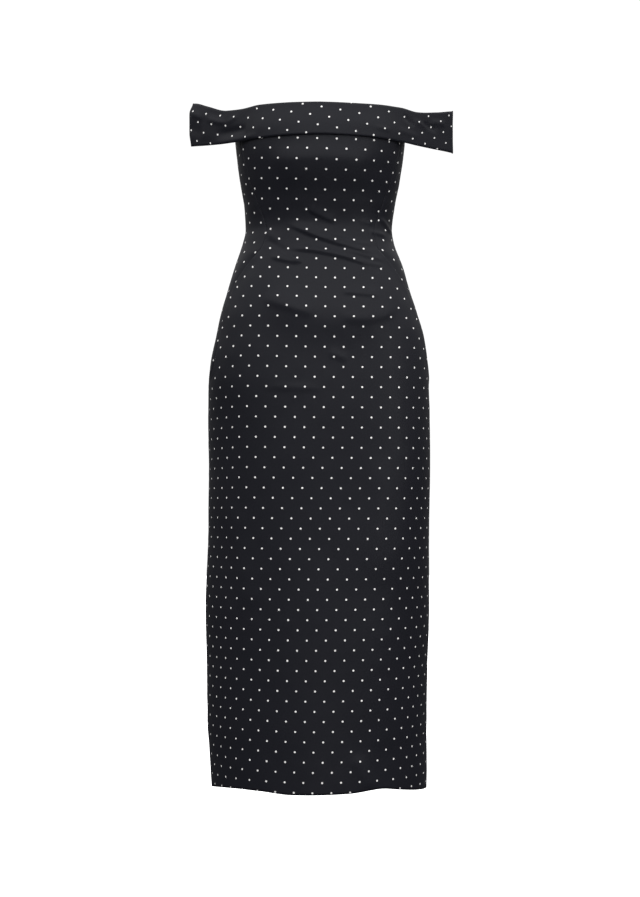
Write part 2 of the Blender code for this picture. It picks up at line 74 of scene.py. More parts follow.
# Rows of points above and below these heights move to meet the neck's edge and the hem's.
EASED_ABOVE = 0.045
EASED_BELOW = -0.300

# Places around the body: 0 is the centre front, 1 the side, 2 the centre back, and left is negative.
SIDE_SEAM = 1.0
CENTRE_BACK = 2.0
SIGN = {"left": -1, "right": 1}

# The body's outer outline at each height: half widths, depths before and behind the axis,
# and how square its corners are, where 2 is an ellipse.
Section = namedtuple("Section", "z left right front back round_left round_right round_back")
SECTIONS = [
    Section(-0.935, 0.1830, 0.1800, 0.1350, 0.1180, 1.72, 2.00, 2.2),
    Section(-0.865, 0.1874, 0.1801, 0.1350, 0.1180, 1.72, 2.00, 2.2),
    Section(-0.820, 0.1906, 0.1805, 0.1350, 0.1180, 1.72, 2.05, 2.2),
    Section(-0.725, 0.1912, 0.1816, 0.1350, 0.1190, 1.72, 2.15, 2.2),
    Section(-0.620, 0.1930, 0.1845, 0.1340, 0.1200, 1.74, 2.30, 2.3),
    Section(-0.500, 0.1885, 0.1838, 0.1310, 0.1210, 1.84, 2.80, 2.3),
    Section(-0.400, 0.1878, 0.1850, 0.1285, 0.1225, 2.00, 3.00, 2.4),
    Section(-0.320, 0.1888, 0.1848, 0.1265, 0.1240, 2.20, 3.10, 2.4),
    Section(-0.258, 0.1882, 0.1831, 0.1235, 0.1250, 2.50, 3.10, 2.4),
    Section(-0.218, 0.1845, 0.1811, 0.1205, 0.1235, 2.65, 3.10, 2.4),
    Section(-0.177, 0.1752, 0.1750, 0.1175, 0.1190, 2.80, 3.10, 2.4),
    Section(-0.137, 0.1667, 0.1632, 0.1140, 0.1100, 2.90, 3.10, 2.4),
    Section(-0.096, 0.1552, 0.1503, 0.1080, 0.0985, 2.80, 3.00, 2.4),
    Section(-0.056, 0.1434, 0.1390, 0.1000, 0.0870, 2.60, 2.80, 2.4),
    Section(-0.015, 0.1299, 0.1240, 0.0915, 0.0775, 2.40, 2.60, 2.4),
    Section(0.005, 0.1252, 0.1208, 0.0895, 0.0755, 2.35, 2.55, 2.4),
    Section(0.046, 0.1277, 0.1258, 0.0985, 0.0780, 2.30, 2.50, 2.4),
    Section(0.086, 0.1345, 0.1338, 0.1095, 0.0840, 2.25, 2.45, 2.4),
    Section(0.127, 0.1399, 0.1400, 0.1180, 0.0890, 2.20, 2.40, 2.4),
    Section(0.157, 0.1429, 0.1430, 0.1160, 0.0910, 2.20, 2.40, 2.4),
    Section(0.200, 0.1440, 0.1430, 0.1030, 0.0900, 2.20, 2.40, 2.4),
    Section(0.230, 0.1440, 0.1430, 0.0960, 0.0880, 2.20, 2.40, 2.4),
]

# The hem's height from the centre front to the side seams
Hem = namedtuple("Hem", "place left right")
HEM_EDGE = [
    Hem(0.00, -0.9254, -0.9254),
    Hem(0.20, -0.9264, -0.9237),
    Hem(0.42, -0.9232, -0.9184),
    Hem(0.56, -0.9227, -0.9224),
    Hem(0.72, -0.9243, -0.9272),
    Hem(0.86, -0.9270, -0.9300),
    Hem(1.00, -0.9310, -0.9310),
]

# The front panel's long edges: princess seams above the waist, pocket edges below it.
FrontEdge = namedtuple("FrontEdge", "z left right")
FRONT_EDGE = [
    FrontEdge(-0.262, 0.985, 0.985),
    FrontEdge(-0.250, 0.880, 0.930),
    FrontEdge(-0.235, 0.790, 0.862),
    FrontEdge(-0.200, 0.754, 0.806),
    FrontEdge(-0.165, 0.750, 0.776),
    FrontEdge(-0.130, 0.732, 0.745),
    FrontEdge(-0.095, 0.702, 0.702),
    FrontEdge(-0.070, 0.640, 0.640),
    FrontEdge(-0.048, 0.570, 0.565),
    FrontEdge(-0.030, 0.523, 0.520),
    FrontEdge(-0.012, 0.510, 0.520),
    FrontEdge(0.018, 0.560, 0.575),
    FrontEdge(0.051, 0.625, 0.630),
    FrontEdge(0.086, 0.690, 0.690),
    FrontEdge(0.135, 0.745, 0.755),
    FrontEdge(0.200, 0.760, 0.775),
]

# The pocket's mouth: how far the side front runs behind it, its raised lip, and how it gapes
POCKET_OVERLAP = 0.016
POCKET_FADE = 0.030
POCKET_LIP = 0.0010
POCKET_LIP_WIDTH = 0.008
POCKET_GAPE = {"left": 0.0090, "right": 0.0036}
GAPE_MIDDLE = 0.002
GAPE_WIDTH = 0.009
GAPE_ABOVE = 0.20
GAPE_WIDENS = (-0.176, -0.200)
Reach = namedtuple("Reach", "top top_full bottom_full bottom")
POCKET_STEP = Reach(-0.035, -0.052, -0.241, -0.262)
POCKET_BEHIND = Reach(-0.056, -0.085, -0.205, -0.230)

# The back's darts, by their distance from the centre back
DART_PLACE = 0.075
DART_SPREAD = 0.06
DART_DEPTH = 0.0009
DART_REACH = Reach(0.14, 0.12, -0.11, -0.135)

# Sewn seams
GROOVE_DEPTH = 0.0006
GROOVE_WIDTH = 0.0013
PUCKER_HEIGHT = 0.00030
PUCKER_LENGTH = 0.0065
PUCKER_REACH = 0.006
FRONT_SEAM_SEED = {"left": 11, "right": 12}
BACK_SEAM_SEED = {"left": 15, "right": 16}

# Folds, from start to end: a ridge where raised is positive, a trough where it is negative.
# Their upper and lower flanks fall away over different widths.
Fold = namedtuple("Fold", "start_x start_z end_x end_z sag above below raised")
FRONT_FOLDS = [
    Fold(-0.024, 0.0300, 0.028, 0.0060, -0.001, 0.0100, 0.0028, 0.0024),
    Fold(-0.060, 0.0080, 0.100, -0.0460, -0.006, 0.0085, 0.0028, 0.0036),
    Fold(-0.026, 0.0030, 0.026, -0.0150, 0.000, 0.0090, 0.0050, 0.0010),
    Fold(0.002, -0.0140, 0.090, -0.0300, -0.002, 0.0045, 0.0024, 0.0017),
    Fold(-0.056, -0.0370, 0.078, -0.0640, 0.006, 0.0080, 0.0028, 0.0032),
    Fold(0.028, -0.0370, 0.108, -0.0560, 0.000, 0.0050, 0.0026, 0.0019),
    Fold(0.056, -0.0580, 0.106, -0.0660, 0.000, 0.0050, 0.0028, 0.0016),
    Fold(-0.084, -0.0480, -0.028, -0.0610, -0.002, 0.0080, 0.0030, 0.0027),
    Fold(-0.062, -0.0430, -0.024, -0.0630, 0.000, 0.0034, 0.0028, 0.0013),
    Fold(-0.090, -0.0200, -0.054, -0.0430, 0.001, 0.0045, 0.0045, -0.0014),
    Fold(-0.092, -0.0060, -0.066, -0.0240, 0.001, 0.0070, 0.0050, 0.0010),
    Fold(0.098, 0.0190, 0.119, -0.0060, 0.001, 0.0035, 0.0025, 0.0020),
    Fold(0.078, -0.0070, 0.110, -0.0120, 0.001, 0.0040, 0.0028, 0.0017),
    Fold(0.064, 0.0090, 0.088, 0.0060, 0.000, 0.0040, 0.0030, 0.0010),
    Fold(0.030, -0.110, 0.100, -0.117, 0.001, 0.0110, 0.0042, 0.0020),
    Fold(-0.108, -0.114, 0.138, -0.128, -0.030, 0.0450, 0.0340, 0.0050),
    Fold(-0.096, -0.118, -0.004, -0.149, -0.001, 0.0180, 0.0080, 0.0028),
    Fold(0.028, -0.150, 0.128, -0.136, -0.012, 0.0140, 0.0070, 0.0020),
    Fold(-0.094, 0.104, 0.104, 0.103, 0.000, 0.0190, 0.0400, 0.0072),
    Fold(0.014, -0.208, 0.046, -0.222, -0.001, 0.0080, 0.0040, 0.0014),
    Fold(-0.092, -0.266, 0.008, -0.270, 0.001, 0.0080, 0.0045, 0.0010),
    Fold(0.052, -0.860, 0.082, -0.925, 0.002, 0.0120, 0.0080, 0.0020),
    Fold(-0.150, -0.440, -0.120, -0.640, 0.004, 0.0200, 0.0140, 0.0016),
    Fold(0.104, -0.360, 0.090, -0.600, -0.004, 0.0160, 0.0240, 0.0016),
    Fold(-0.050, -0.500, -0.062, -0.760, 0.002, 0.0260, 0.0180, 0.0012),
]
BACK_FOLDS = [
    Fold(-0.090, 0.018, 0.000, -0.014, -0.005, 0.0110, 0.0034, 0.0026),
    Fold(0.094, 0.026, 0.006, -0.022, -0.005, 0.0110, 0.0034, 0.0024),
    Fold(-0.084, 0.040, -0.020, 0.014, -0.003, 0.0090, 0.0034, 0.0014),
    Fold(0.088, -0.014, 0.014, -0.044, -0.003, 0.0100, 0.0036, 0.0018),
    Fold(-0.082, -0.022, -0.014, -0.046, -0.002, 0.0090, 0.0036, 0.0016),
    Fold(-0.096, -0.150, 0.090, -0.170, -0.012, 0.0240, 0.0120, 0.0024),
    Fold(-0.070, -0.246, 0.060, -0.258, -0.006, 0.0140, 0.0080, 0.0014),
    Fold(0.092, -0.340, 0.070, -0.640, -0.006, 0.0180, 0.0240, 0.0018),
    Fold(-0.110, -0.400, -0.090, -0.700, 0.005, 0.0220, 0.0160, 0.0016),
]
FOLD_TAPER = 0.25
Unevenness = namedtuple("Unevenness", "height wide tall seed")
BODY_UNEVENNESS = [Unevenness(0.0006, 0.055, 0.075, 3), Unevenness(0.00022, 0.016, 0.021, 4)]
BAND_UNEVENNESS = Unevenness(0.0004, 0.03, 0.02, 21)

# The band's edges from the centre (path 0) to the sleeve's tip (path 1).
BandEdge = namedtuple("BandEdge", "path left_top left_bottom right_top right_bottom back_top back_bottom")
BAND_EDGES = [
    BandEdge(0.00, 0.2010, 0.1456, 0.2010, 0.1456, 0.2070, 0.1520),
    BandEdge(0.30, 0.2010, 0.1449, 0.1996, 0.1440, 0.2075, 0.1530),
    BandEdge(0.48, 0.2012, 0.1444, 0.2007, 0.1430, 0.2085, 0.1590),
    BandEdge(0.62, 0.1992, 0.1446, 0.2014, 0.1434, 0.2090, 0.1690),
    BandEdge(0.72, 0.2002, 0.1448, 0.1976, 0.1416, 0.2100, 0.1680),
    BandEdge(0.85, 0.2114, 0.1463, 0.2016, 0.1392, 0.2110, 0.1615),
    BandEdge(0.95, 0.2203, 0.1484, 0.2070, 0.1380, 0.2140, 0.1550),
    BandEdge(1.00, 0.2220, 0.1495, 0.2094, 0.1376, 0.2154, 0.1442),
]

# The sleeve loops: their tips, where the band leaves the body, and how it bends on its way out
LEFT_TIP = 0.2209
RIGHT_TIP = 0.2250
TIP_RADIUS = 0.0030
TIP_ANGLE = math.radians(48)
TIP_ARC_SHARE = 0.03
FRONT_LEAVES = 0.60
BACK_LEAVES = 0.58
LEAVING_SHARE = 0.55

# Up to this share of the path, creases never push the band into the body.
NEAR_BODY = 0.58

# The sleeve loops' curve, the band's room round the body, and its nominal size for creases
SLEEVE_BEND = (0.36, 0.30)
BAND_STAND_OFF = 0.0010
LEFT_TIP_INSET = (0.0026, 0.0060)
BAND_HEIGHT = 0.06
BAND_LENGTH = 0.27
TIP_GROOVE_WIDTH = 0.0015

# Creases of the band: path runs from -1 at the left tip to 1 at the right one, and level from 0
# at its lower edge to 1 at its upper one.
Crease = namedtuple("Crease", "start_path start_level end_path end_level width raised")
FRONT_CREASES = [
    Crease(-0.97, 0.76, -0.86, 0.68, 0.0036, 0.0018),
    Crease(-0.85, 0.68, -0.69, 0.63, 0.0036, 0.0020),
    Crease(-0.71, 0.61, -0.63, 0.80, 0.0036, 0.0012),
    Crease(-0.88, 0.84, -0.70, 0.86, 0.0040, -0.0010),
    Crease(-0.80, 0.30, -0.54, 0.36, 0.0070, -0.0026),
    Crease(-0.82, 0.06, -0.44, 0.10, 0.0040, 0.0016),
    Crease(-0.99, 0.44, -0.86, 0.30, 0.0080, -0.0016),
    Crease(0.63, 0.80, 0.71, 0.56, 0.0036, -0.0022),
    Crease(0.69, 0.76, 0.79, 0.54, 0.0032, 0.0016),
    Crease(0.75, 0.72, 0.86, 0.48, 0.0036, -0.0024),
    Crease(0.80, 0.74, 0.92, 0.68, 0.0034, 0.0018),
    Crease(0.38, 0.31, 0.54, 0.27, 0.0034, 0.0010),
    Crease(0.30, 0.19, 0.56, 0.12, 0.0034, -0.0009),
    Crease(0.58, 0.34, 0.74, 0.26, 0.0050, 0.0010),
]
BACK_CREASES = [
    Crease(-0.92, 0.60, -0.70, 0.50, 0.0055, 0.0016),
    Crease(-0.80, 0.80, -0.62, 0.72, 0.0050, -0.0014),
    Crease(0.66, 0.76, 0.82, 0.50, 0.0055, -0.0016),
    Crease(0.72, 0.40, 0.94, 0.46, 0.0050, 0.0014),
]
CREASE_TAPER = 0.3

# Dots: a lattice with every other row set over by half a pitch
DOT_PITCH = 0.03087
DOT_ROW_PAIR = 0.03283
DOT_RADIUS = 0.0016
DOT_EDGE = (0.0003, -0.0004)

# Where the cloth's grain lies on the front: how far it leans sideways, how its rows tilt and bow,
# and how much it is stretched along them.
Grain = namedtuple("Grain", "z lean tilt bow stretch")
GRAIN = [
    Grain(-0.930, -0.0278, -0.0080, 0.03, -0.008),
    Grain(-0.740, -0.0230, -0.0076, 0.03, -0.006),
    Grain(-0.610, -0.0197, -0.0020, 0.04, 0.006),
    Grain(-0.480, -0.0153, 0.0050, 0.05, 0.010),
    Grain(-0.350, -0.0102, 0.0100, 0.08, 0.008),
    Grain(-0.250, -0.0088, 0.0120, 0.12, 0.004),
    Grain(-0.120, -0.0068, 0.0160, 0.16, 0.000),
    Grain(-0.020, -0.0060, 0.0180, 0.28, 0.002),
    Grain(0.060, -0.0074, 0.0260, 0.36, 0.016),
    Grain(0.110, -0.0052, 0.0280, 0.36, 0.028),
    Grain(0.200, -0.0036, 0.0280, 0.36, 0.030),
]

# A dot's height along the front's centre line
FRONT_DOT_PATH = 1.0472

# How much further round the grain has run than the outline, on the skirt's flanks
Ease = namedtuple("Ease", "across further")
FLANK_EASE = [
    Ease(-0.230, -0.018),
    Ease(-0.130, 0.004),
    Ease(-0.030, 0.000),
    Ease(0.125, 0.000),
    Ease(0.210, 0.011),
]

# The heights between which that ease sets in, and a drop of the rows on the left flank
FLANK_EASED = (-0.22, -0.30)
FLANK_DROP = 0.065
FLANK_DROPS_PAST = 0.13
FLANK_DROPPED = (-0.58, -0.30)

# The side fronts' grain: how far it is turned and shifted
SIDE_DOT_TURN = math.radians(7)
SIDE_DOT_SHIFT = (0.006, 0.004)
SIDE_DOT_RISE = {"left": 0.0035, "right": 0.0}

# How the cloth's grain runs along the band, from the left tip to the right one: how its rows slope,
# how its columns lean and how far its cloth is eased or stretched.
BandGrain = namedtuple("BandGrain", "path degrees lean stretch")
BAND_GRAIN = [
    BandGrain(-1.00, 18, -0.14, 1.04),
    BandGrain(-0.75, 11, -0.13, 1.04),
    BandGrain(-0.45, 10, -0.12, 0.96),
    BandGrain(0.20, 9, -0.22, 0.97),
    BandGrain(0.50, 6, -0.40, 0.84),
    BandGrain(0.75, 13, -0.50, 1.10),
    BandGrain(1.00, 12, -0.50, 1.20),
]

# A dot on the band lies at BAND_DOT from its centre line at the height BAND_MIDDLE.
BAND_MIDDLE = 0.172
BAND_DOT = (0.0014, 0.0119)
BAND_DOT_RISE = 1.012
BAND_BACK_DOT = 0.1958

# Zip
ZIP_BOTTOM = -0.210
TAPE_WIDTH = 0.0120
COIL_PITCH = 0.0021
COIL_TOP = 0.182
COIL_OFFSET = 0.0009
ToothSize = namedtuple("ToothSize", "wide deep tall")
COIL_SIZE = ToothSize(0.0024, 0.0010, 0.0008)
SLIDER_Z = 0.1901
SLIDER_NECK = 0.0012
SLIDER_NECK_ROOM = 0.00035

# How far above and below the slider the gap for its neck closes
SLIDER_REACH = (0.0042, 0.0060)

# Fineness of the meshes
Rows = namedtuple("Rows", "top step")
ROWS = [
    Rows(-0.300, 0.0046),
    Rows(-0.150, 0.0034),
    Rows(0.060, 0.0022),
    Rows(0.200, 0.0038),
]
COLUMN_STEP = 0.0042
EDGE_COLUMNS = (0.0, 0.0006, 0.0014, 0.0026)
OUTLINE_LEVELS = 601
OUTLINE_SHARES = 161
OUTLINE_TURNS = 241
BAND_LEVELS = 19
BAND_STATIONS = 120
BAND_TIP_STATIONS = 6
TAPE_STEP = 0.002

# Colours
CLOTH_DARK = (0.0058, 0.0062, 0.0098, 1)
CLOTH_LIGHT = (0.0076, 0.0080, 0.0120, 1)
CLOTH_WORN = (0.0120, 0.0125, 0.0170, 1)
DOT_COLOUR = (0.80, 0.79, 0.78, 1)
TAPE_DARK = (0.008, 0.008, 0.009, 1)
TAPE_LIGHT = (0.018, 0.018, 0.020, 1)
ENAMEL_DARK = (0.012, 0.012, 0.013, 1)
ENAMEL_LIGHT = (0.022, 0.022, 0.024, 1)
WHITE = (1, 1, 1, 1)
RUB_REACH = 0.0022
RUB_SHARE = 0.45

# Studio: the surround's strength by direction, and soft lights that face the waist
SKY_SEEN = 1.05
SKY_BELOW = 0.18
SKY_ABOVE = 2.05
SKY_RISE = (-0.10, 0.75)
SKY_BEHIND = 0.50
SKY_TURN = (-0.20, 0.50)
FLOOR_HEIGHT = -1.60
FLOOR_HALF = 30.0
Light = namedtuple("Light", "name place wide tall power")
LIGHTS = [
    Light("light_key", (0.0, -1.5, 0.55), 1.4, 0.6, 4.2),
    Light("light_low", (0.0, -2.6, -1.1), 2.4, 0.6, 6.0),
    Light("light_left", (-1.6, -1.9, 0.1), 0.8, 1.6, 2.0),
    Light("light_right", (1.6, -1.9, 0.1), 0.8, 1.6, 10.0),
]


def monotone_curve(places, values, place):
    """A smooth curve through the values that never overshoots them, read at many places."""
    places = np.asarray(places, float)
    values = np.asarray(values, float)
    steps = np.diff(places)
    slopes = np.diff(values) / steps
    tangents = np.empty_like(values)
    tangents[0] = slopes[0]
    tangents[-1] = slopes[-1]
    for i in range(1, len(values) - 1):
        if slopes[i - 1] * slopes[i] <= 0:
            tangents[i] = 0.0
            continue
        before = 2 * steps[i] + steps[i - 1]
        after = steps[i] + 2 * steps[i - 1]
        tangents[i] = (before + after) / (before / slopes[i - 1] + after / slopes[i])
    place = np.clip(place, places[0], places[-1])
    i = np.clip(np.searchsorted(places, place) - 1, 0, len(steps) - 1)
    t = (place - places[i]) / steps[i]
    rising = t * t * (3 - 2 * t)
    leaving = steps[i] * tangents[i] * t * (1 - t) ** 2
    arriving = steps[i] * tangents[i + 1] * t * t * (1 - t)
    return values[i] * (1 - rising) + values[i + 1] * rising + leaving - arriving


def table_value(table, key, column, place):
    """A column of a table, read smoothly at places along its key column."""
    keys = [getattr(row, key) for row in table]
    values = [getattr(row, column) for row in table]
    return monotone_curve(keys, values, place)


def smooth_step(start, end, value):
    """0 before start, 1 after end, and smooth between them, in either direction."""
    t = np.clip((value - start) / (end - start), 0.0, 1.0)
    return t * t * (3 - 2 * t)


def reach_share(reach, z):
    """1 within a reach of heights and 0 past its ends."""
    return smooth_step(reach.top, reach.top_full, z) * smooth_step(reach.bottom, reach.bottom_full, z)


def unit(vectors):
    """The vectors at length 1."""
    return vectors / np.linalg.norm(vectors, axis=-1, keepdims=True)


def add_object(name, data):
    """A new object in the scene."""
    thing = bpy.data.objects.new(name, data)
    bpy.context.collection.objects.link(thing)
    return thing


def quarter_table(side, front):
    """A quarter of the body's outline at many heights: x, y and the quarter's length."""
    levels = np.linspace(SECTIONS[0].z, SECTIONS[-1].z, OUTLINE_LEVELS)
    width = table_value(SECTIONS, "z", side, levels)[:, None]
    depth = table_value(SECTIONS, "z", "front" if front else "back", levels)[:, None]
    power = table_value(SECTIONS, "z", "round_" + side if front else "round_back", levels)[:, None]
    turn = math.pi / 4 * (1 - np.cos(np.linspace(0, math.pi, OUTLINE_TURNS)))[None, :]
    x = width * np.sin(turn) ** (2 / power)
    y = depth * np.cos(turn).clip(0) ** (2 / power)
    steps = np.hypot(np.diff(x, axis=1), np.diff(y, axis=1))
    walked = np.concatenate([np.zeros((len(levels), 1)), np.cumsum(steps, axis=1)], axis=1)
    shares = np.linspace(0, 1, OUTLINE_SHARES)
    even_x = np.empty((len(levels), OUTLINE_SHARES))
    even_y = np.empty((len(levels), OUTLINE_SHARES))
    for i in range(len(levels)):
        even_x[i] = np.interp(shares * walked[i, -1], walked[i], x[i])
        even_y[i] = np.interp(shares * walked[i, -1], walked[i], y[i])
    return even_x, even_y, walked[:, -1]


QUARTERS = {
    (side, front): quarter_table(side, front) for side in ("left", "right") for front in (True, False)
}


def level_index(z):
    """Where heights lie among the outline's levels."""
    span = SECTIONS[-1].z - SECTIONS[0].z
    return np.clip((z - SECTIONS[0].z) / span * (OUTLINE_LEVELS - 1), 0, OUTLINE_LEVELS - 1.001)


def bilinear(values, row, column):
    """Reads a table between its rows and columns."""
    i = row.astype(int)
    j = column.astype(int)
    s = row - i
    t = column - j
    low = values[i, j] * (1 - t) + values[i, j + 1] * t
    high = values[i + 1, j] * (1 - t) + values[i + 1, j + 1] * t
    return low * (1 - s) + high * s


def wrapped(around):
    """The same places, with those past the centre back given from the other side."""
    around = np.where(around > CENTRE_BACK, around - 2 * CENTRE_BACK, around)
    return np.where(around < -CENTRE_BACK, around + 2 * CENTRE_BACK, around)


def in_quarter(around, side, front):
    """Which places lie in a quarter of the outline."""
    return ((around < 0) == (side == "left")) & ((np.abs(around) <= SIDE_SEAM) == front)


def outline_points(z, around):
    """Points of the body's outer outline."""
    z, around = np.broadcast_arrays(np.asarray(z, float), np.asarray(around, float))
    around = wrapped(around)
    points = np.empty(z.shape + (3,))
    points[..., 2] = z
    share = np.where(np.abs(around) <= SIDE_SEAM, np.abs(around), CENTRE_BACK - np.abs(around))
    row = level_index(z)
    column = np.clip(share, 0, 1) * (OUTLINE_SHARES - 1.001)
    for (side, front), (even_x, even_y, _) in QUARTERS.items():
        here = in_quarter(around, side, front)
        if not here.any():
            continue
        x = bilinear(even_x, row[here], column[here])
        y = bilinear(even_y, row[here], column[here])
        points[here, 0] = -x if side == "left" else x
        points[here, 1] = -y if front else y
    return points


def quarter_length(z, around):
    """Lengths of the quarters of the outline that the places lie in."""
    z, around = np.broadcast_arrays(np.asarray(z, float), np.asarray(around, float))
    lengths = np.empty(z.shape)
    row = level_index(z)
    i = row.astype(int)
    s = row - i
    for (side, front), (_, _, length) in QUARTERS.items():
        here = in_quarter(around, side, front)
        values = length[i] * (1 - s) + length[i + 1] * s
        lengths[here] = values[here]
    return lengths


def outline_normals(z, around):
    """Directions that face out of the body."""
    step_z = 0.003
    step_around = 0.010
    up = outline_points(z + step_z, around) - outline_points(z - step_z, around)
    along = outline_points(z, around + step_around) - outline_points(z, around - step_around)
    return unit(np.cross(along, up))


def soft_noise(a, b, step_a, step_b, seed):
    """Smooth irregular values between -1 and 1 over two coordinates."""
    rng = np.random.default_rng(seed)
    cells = 96
    values = rng.uniform(-1, 1, (cells, cells))
    p = np.mod(a / step_a, cells)
    q = np.mod(b / step_b, cells)
    i = np.floor(p).astype(int) % cells
    j = np.floor(q).astype(int) % cells
    s = p - np.floor(p)
    t = q - np.floor(q)
    s = s * s * (3 - 2 * s)
    t = t * t * (3 - 2 * t)
    i2 = (i + 1) % cells
    j2 = (j + 1) % cells
    low = values[i, j] * (1 - t) + values[i, j2] * t
    high = values[i2, j] * (1 - t) + values[i2, j2] * t
    return low * (1 - s) + high * s


def fold_lift(folds, across_axis, height):
    """How far folds lift the cloth, at points given by their x and height."""
    lift = np.zeros_like(across_axis)
    for fold in folds:
        run = np.array([fold.end_x - fold.start_x, fold.end_z - fold.start_z])
        length = np.linalg.norm(run)
        run = run / length
        dx = across_axis - fold.start_x
        dz = height - fold.start_z
        share = np.clip((dx * run[0] + dz * run[1]) / length, 0, 1)
        across = dz * run[0] - dx * run[1] - fold.sag * 4 * share * (1 - share)
        width = np.where(across > 0, fold.above, fold.below)
        ends = smooth_step(0, FOLD_TAPER, share) * smooth_step(1, 1 - FOLD_TAPER, share)
        lift += fold.raised * ends * np.exp(-((across / width) ** 2))
    return lift


def cloth_lift(points):
    """How far the body's cloth stands out of its outline: folds and slight unevenness."""
    front = points[..., 1] < 0
    x = points[..., 0]
    z = points[..., 2]
    lift = np.where(front, fold_lift(FRONT_FOLDS, x, z), fold_lift(BACK_FOLDS, x, z))
    apart = np.where(front, x, x + 7.0)
    for uneven in BODY_UNEVENNESS:
        lift = lift + uneven.height * soft_noise(apart, z, uneven.wide, uneven.tall, uneven.seed)
    return lift


def body_rows():
    """The nominal heights of the rows of points, from the hem to the neck."""
    heights = [HEM_FRONT]
    for rows in ROWS:
        start = heights[-1]
        count = max(1, round((rows.top - start) / rows.step))
        heights.extend(start + (rows.top - start) * i / count for i in range(1, count + 1))
    return np.array(heights)


def row_height(nominal, around):
    """Real heights of rows: the top rows follow the neck's edge, and the lowest rows the hem."""
    place = np.abs(around)
    neck_front = NECK_FRONT + (NECK_SIDE - NECK_FRONT) * smooth_step(NECK_LEVEL_TO[0], SIDE_SEAM, place)
    neck_back = NECK_SIDE + (NECK_BACK - NECK_SIDE) * smooth_step(SIDE_SEAM, NECK_LEVEL_TO[1], place)
    left = table_value(HEM_EDGE, "place", "left", place)
    right = table_value(HEM_EDGE, "place", "right", place)
    hem_front = np.where(around < 0, left, right)
    hem_side = HEM_EDGE[-1].left
    hem_back = hem_side + (HEM_BACK - hem_side) * smooth_step(SIDE_SEAM, CENTRE_BACK, place)
    neck = np.where(place <= SIDE_SEAM, neck_front, neck_back)
    hem = np.where(place <= SIDE_SEAM, hem_front, hem_back)
    top = ROWS[-1].top
    bodice_share = np.clip((nominal - EASED_ABOVE) / (top - EASED_ABOVE), 0.0, 1.0)
    skirt_share = np.clip((EASED_BELOW - nominal) / (EASED_BELOW - HEM_FRONT), 0.0, 1.0)
    return nominal + (neck - top) * bodice_share + (hem - HEM_FRONT) * skirt_share


def place_after(z, around, distance):
    """The places a distance further along the outline."""
    return around + distance / quarter_length(z, around)


def edge_beside(side, place, distance):
    """An edge at a distance past a place round the body, as a function of height."""
    def edge(z):
        return SIGN[side] * place_after(z, np.full_like(z, place), distance(z))

    return edge


def front_edge(side, z):
    """The place of the front panel's long edge: its seam, pocket edge or side seam."""
    edge = table_value(FRONT_EDGE, "z", side, z)
    return np.where(z < FRONT_EDGE[0].z, SIDE_SEAM, edge)


def front_path(z):
    """How far up the front's centre line heights lie, measured over the cloth from the lowest level."""
    levels = np.linspace(SECTIONS[0].z, SECTIONS[-1].z, OUTLINE_LEVELS)
    depth = table_value(SECTIONS, "z", "front", levels)
    walked = np.concatenate([[0], np.cumsum(np.hypot(np.diff(levels), np.diff(depth)))])
    return np.interp(z, levels, walked)


def table_columns(table, key, place):
    """All the other columns of a table, read smoothly along its key column."""
    return [table_value(table, key, column, place) for column in table[0]._fields[1:]]


def front_cloth_coordinates(z, around):
    """Where points of the front lie on the flat cloth, so that a dot falls on each whole cell."""
    across = around * quarter_length(z, around)
    lean, tilt, bow, stretch = table_columns(GRAIN, "z", z)
    u = (across - lean) * (1 - stretch)
    v = front_path(z) - FRONT_DOT_PATH + tilt * across - bow * across ** 2
    u = u + table_value(FLANK_EASE, "across", "further", across) * smooth_step(*FLANK_EASED, z)
    past = np.clip(-across - FLANK_DROPS_PAST, 0.0, None)
    v = v + FLANK_DROP * past * smooth_step(*FLANK_DROPPED, z)
    return u, v


def distance_to_rim(points):
    """Distances of a grid's points from its first and last rows, along the columns."""
    steps = np.linalg.norm(np.diff(points, axis=0), axis=-1)
    walked = np.concatenate([np.zeros((1, points.shape[1])), np.cumsum(steps, axis=0)])
    return np.minimum(walked, walked[-1] - walked)


